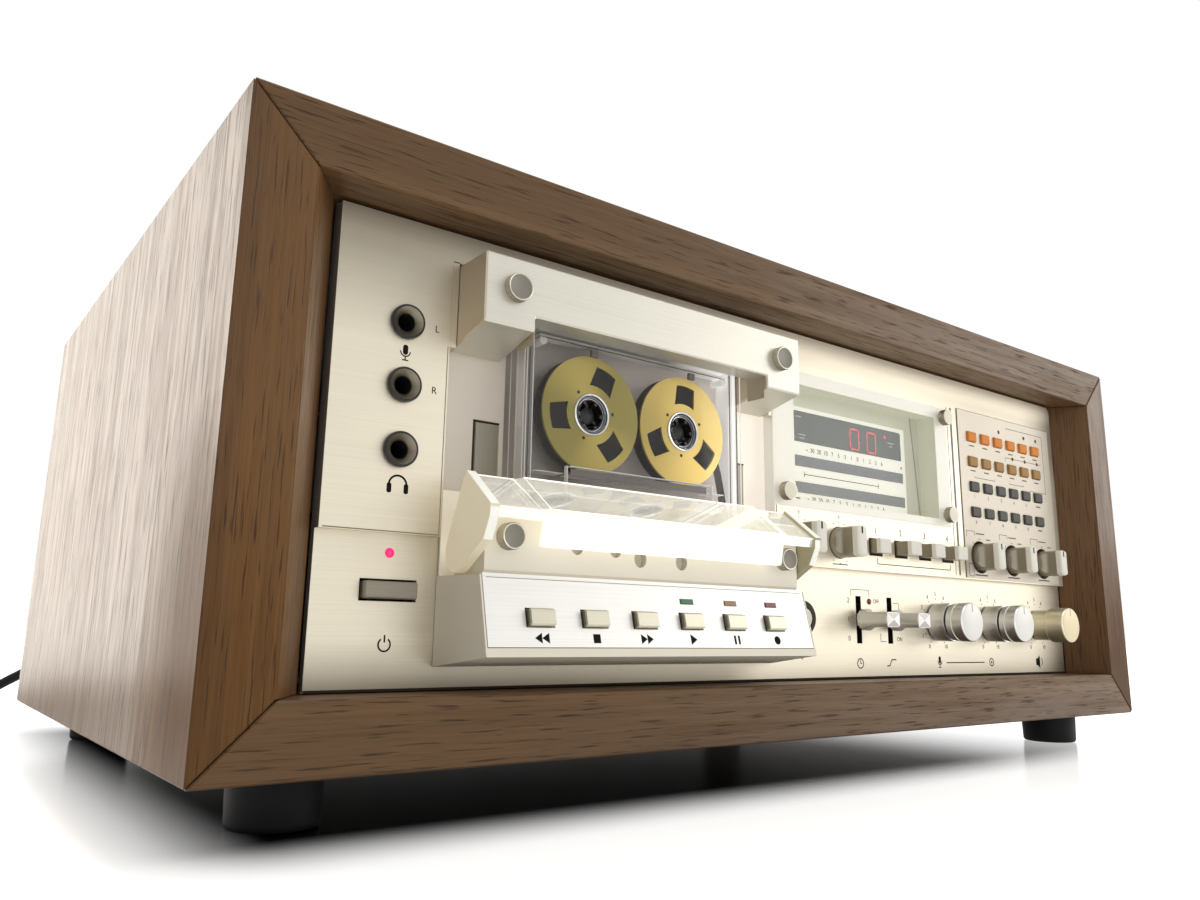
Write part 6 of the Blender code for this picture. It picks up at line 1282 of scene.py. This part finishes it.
def feet():
    """Rubber feet, hollow for their screws."""
    for end, y in (("front", FRONT_Y + 0.03), ("rear", FRONT_Y + 0.2798)):
        for side, x in (("left", -0.20915), ("right", 0.20915)):
            s = Shape(lambda across, up, back: Vector((x + across * MM, y + back * MM, up * MM)))
            s.turned([(4.0, 8.0), (4.0, 0.3), (4.4, 0.0), (11.6, 0.0), (12.3, 0.25), (12.75, 0.9),
                      (12.9, 2.0), (13.4, 14.2), (13.3, 15.0), (13.0, 15.2), (4.0, 15.2)],
                     0, 0, 72, closed=True)
            name = f"foot_{end}_{side}"
            s.done(f"{name}_rubber", "rubber", "black_rubber", [name])


# Mains lead

CORD = 0.0052
LEAD_X, LEAD_Z = -0.1960, 0.0500
GLAND = Vector((LEAD_X, REAR_Y + 0.0303, LEAD_Z))
ROUTE = ((-0.1960, 0.1900, 0.0500), (-0.1961, 0.1975, 0.0499), (-0.1970, 0.2070, 0.0490),
         (-0.1998, 0.2180, 0.0466), (-0.2055, 0.2285, 0.0424), (-0.2143, 0.2376, 0.0363),
         (-0.2245, 0.2440, 0.0295), (-0.2350, 0.2470, 0.0230), (-0.2450, 0.2478, 0.0168),
         (-0.2550, 0.2475, 0.0108), (-0.2650, 0.2467, 0.0058), (-0.2750, 0.2461, 0.0031),
         (-0.2850, 0.2460, 0.0026))
COIL_X, COIL_Y, COIL_OUTER, COIL_TURNS, COIL_LAYERS, COIL_STEP = -0.3000, 0.2100, 0.0360, 8.25, 4, 0.0058
COIL_START = (COIL_X + CORD + 0.0003, COIL_Y + COIL_OUTER, CORD / 2)
TAIL = 0.0540


def smooth_route(points, spacing):
    """Even points on a smooth curve through all the given ones."""
    ends = [2 * points[0] - points[1]] + points + [2 * points[-1] - points[-2]]
    fine = []
    for a, b, c, d in zip(ends, ends[1:], ends[2:], ends[3:]):
        for t in (step / 12 for step in range(12)):
            fine.append(0.5 * (2 * b + (c - a) * t + (2 * a - 5 * b + 4 * c - d) * t ** 2
                               + (3 * b - a - 3 * c + d) * t ** 3))
    fine.append(points[-1])
    lengths = [(q - p).length for p, q in zip(fine, fine[1:])]
    count = max(2, round(sum(lengths) / spacing))
    step = sum(lengths) / count
    route, walked, target = [fine[0]], 0.0, step
    for p, q, length in zip(fine, fine[1:], lengths):
        while walked + length >= target and len(route) < count:
            route.append(p.lerp(q, (target - walked) / length))
            target += step
        walked += length
    return route + [fine[-1]]


def coil_points():
    """The coil from its start on the floor up through its layers, and the tail down to the plug."""
    layer_turns = COIL_TURNS / COIL_LAYERS
    points = []
    count = round(COIL_TURNS * 24)
    for i in range(count + 1):
        turn = COIL_TURNS * i / count
        layer, part = divmod(turn, layer_turns)
        radius = COIL_OUTER - COIL_STEP * (part if layer % 2 == 0 else layer_turns - part)
        climbed = sum(min(1.0, max(0.0, (turn - k * layer_turns + 0.25) * 2)) for k in range(1, COIL_LAYERS))
        points.append(Vector((*polar(COIL_X, COIL_Y, radius, math.radians(90) + 2 * math.pi * turn),
                              CORD / 2 + COIL_STEP * climbed)))
    top, x = points[-1].z, points[-1].x
    for share in (i / 6 for i in range(1, 7)):
        drop = (top - 0.0085) * (3 * share ** 2 - 2 * share ** 3)
        points.append(Vector((x, COIL_Y - share * TAIL, top - drop)))
    points.append(points[-1] - Vector((0, CORD, 0)))
    return points


def lead():
    """Mains lead from the gland over the floor into the coil, with its plug."""
    points = smooth_route([GLAND] + [Vector(p) for p in (*ROUTE, COIL_START)], CORD * 2) + coil_points()
    curve = bpy.data.curves.new("mains_lead", "CURVE")
    curve.dimensions = "3D"
    curve.bevel_depth = CORD / 2
    curve.bevel_resolution = 4
    curve.use_fill_caps = True
    spline = curve.splines.new("POLY")
    spline.points.add(len(points) - 1)
    for slot, point in zip(spline.points, points):
        slot.co = (*point, 1)
    curve.materials.append(M["rubber"])
    spline.use_smooth = True
    cord = add_object("mains_lead", curve)
    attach(cord, "root")
    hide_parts("mains_cord", "cord_coil")
    plug = plug_piece(points[-1])
    gland = gland_piece()


def gland_piece():
    """Flanged gland with a ribbed sleeve that thins outwards."""
    s = Shape(lambda x, out, z: Vector((LEAD_X + x * MM, REAR_Y - out * MM, LEAD_Z + z * MM)))
    profile = [(2.75, 4.8), (8.3, 4.8), (8.5, 4.5), (8.5, 2.1), (8.3, 1.8), (5.8, 1.8), (5.8, -0.3),
               (8.3, -0.3), (8.5, -0.6), (8.5, -2.8), (8.2, -3.0), (6.0, -3.2)]
    for i in range(7):
        start, r = -4.2 - i * 3.6, 5.7 - i * 0.33
        profile += [(r, start), (r - 0.05, start - 2.2), (r - 0.9, start - 2.5), (r - 0.9, start - 3.3)]
    s.turned(profile + [(3.5, -29.6), (3.3, -29.98), (2.75, -29.98)], 0, 0, 40, closed=True)
    return s.done("gland", "rubber", "black_rubber", ["strain_relief"])


def plug_piece(end):
    """Two-pin plug: ribbed neck, rounded square body and flat prongs."""
    start = end - Vector((0, 0.0003, 0))
    s = Shape(lambda x, out, z: start + Vector((x, -out, z)) * MM)
    stations = [(0, 3.6, 3.6, 1), (0.4, 4.2, 4.2, 1)]
    for i in range(5):
        rib = 1.2 + i * 2.1
        stations += [(rib + back, r, r, 1) for back, r in ((0, 4.75), (1.0, 4.75), (1.1, 4.1), (1.9, 4.1))]
    stations += [(12.4, 4.7, 4.7, 1), (18, 9.2, 7.0, 0.8), (24, 11.7, 8.3, 0.55), (44.6, 11.8, 8.4, 0.5),
                 (45.6, 11.5, 8.1, 0.5), (46, 10.8, 7.5, 0.5)]
    s.outlines([([(wide * math.copysign(abs(c) ** power, c), high * math.copysign(abs(d) ** power, d))
                  for c, d in circle(0, 0, 1, 40, 0.5)], out) for out, wide, high, power in stations])
    for side in (-1, 1):
        s.outlines([(rect(*about(side * 6.35, 0.75 - shrink / 2), *about(0, 3.1 - shrink)), out)
                    for out, shrink in ((45.4, 0), (61.6, 0), (62.9, 0.45))], 1)
    return s.done("plug", "rubber brass", "black_rubber", ["mains_plug"])


# Floor, world and lights

def add_stage():
    """White floor with the deck's soft shadow painted near it, and faint reflections away from it."""
    mesh = bpy.data.meshes.new("floor")
    mesh.from_pydata([(x, y, -0.0002) for x, y in rect(-12, 12, -12, 12)], [], [(0, 1, 2, 3)])
    n = Nodes()
    x, y = n.axis("X"), n.axis("Y")
    # Painted shadow: the floor's colour goes from black next to the deck to white away from it.
    squares = [n.times(value, value) for value in (n.span(y, -0.142, -0.187), n.span(x, 0.07, 0.27),
                                                   n.span(x, -0.215, -0.262), n.span(y, 0.15, 0.23))]
    reach = n.math("SQRT", n.plus(*squares))
    away = n.add("MapRange", {0: reach}, interpolation_type="SMOOTHSTEP").outputs[0]
    white = n.ramp(n.noise((3, 3, 3), (1, 1, 1), 2), (0.3, (0.79, 0.79, 0.78)), (0.7, (0.81, 0.81, 0.80)))
    n.base(color=n.mix(away, (0.004, 0.004, 0.004), white), rough=0.16,
           spec=n.span(away, 0.0, 1.0, 0.02, 0.42))
    path = n.add("LightPath").outputs
    seen = n.math("MAXIMUM", path["Is Camera Ray"], path["Is Glossy Ray"])
    light = n.add("Emission", {"Color": (1, 1, 1), "Strength": n.times(seen, n.times(away, 0.62))})
    both = n.add("AddShader", {0: n.shader.outputs["BSDF"], 1: light.outputs["Emission"]})
    n.put(n.tree.nodes["Material Output"].inputs["Surface"], both.outputs["Shader"])
    mesh.materials.append(n.owner)
    floor = add_object("floor", mesh)


def add_world():
    """Even warm light from all round, and a white background."""
    world = bpy.data.worlds.new("world")
    bpy.context.scene.world = world
    n = Nodes(world)
    light = n.tree.nodes["Background"]
    n.put(light.inputs["Color"], (1.0, 0.985, 0.96))
    n.put(light.inputs["Strength"], 0.50)
    seen = n.add("Background", {"Color": (1, 1, 1), "Strength": 1.0})
    path = n.add("LightPath").outputs
    shown = path["Is Camera Ray"]
    for name in ("Is Glossy Ray", "Is Transmission Ray"):
        shown = n.math("MAXIMUM", shown, path[name])
    mix = n.add("MixShader", {0: shown, 1: light.outputs["Background"], 2: seen.outputs["Background"]})
    n.put(n.tree.nodes["World Output"].inputs["Surface"], mix.outputs["Shader"])


def add_light(name, place, target, size, power, color):
    data = bpy.data.lights.new(name, "AREA")
    data.shape = "RECTANGLE"
    data.size, data.size_y = size
    data.energy = power
    data.color = color
    lamp = add_object(name, data)
    lamp.location = place
    lamp.rotation_euler = (Vector(target) - Vector(place)).to_track_quat("-Z", "Y").to_euler()


def add_lights():
    add_light("behind_left", (-1.0, 1.9, 0.65), (-0.24, 0.0, 0.1), (2.2, 1.5), 27.5, (1.0, 0.93, 0.83))
    add_light("right_front", (1.9, -1.3, 0.65), (0.1, -0.14, 0.08), (1.3, 1.0), 11, (1.0, 0.98, 0.95))
    add_light("top", (0.1, -0.1, 1.7), (0.0, 0.0, 0.1), (1.2, 1.0), 9, (1, 1, 1))


add_camera()
lead()
paint_nodes()
knobs()
jacks()
lamps()
stud_faces()
cassette()
cover_band()
transport_marks()
fascia_edges()
cover_edges()
display()
key_plate()
selector_plate()
key_print()
panel_print()
seams()
rear_screws()
power_ribs()
feet()
add_stage()
add_world()
add_lights()
bpy.context.scene.view_settings.view_transform = "Standard"
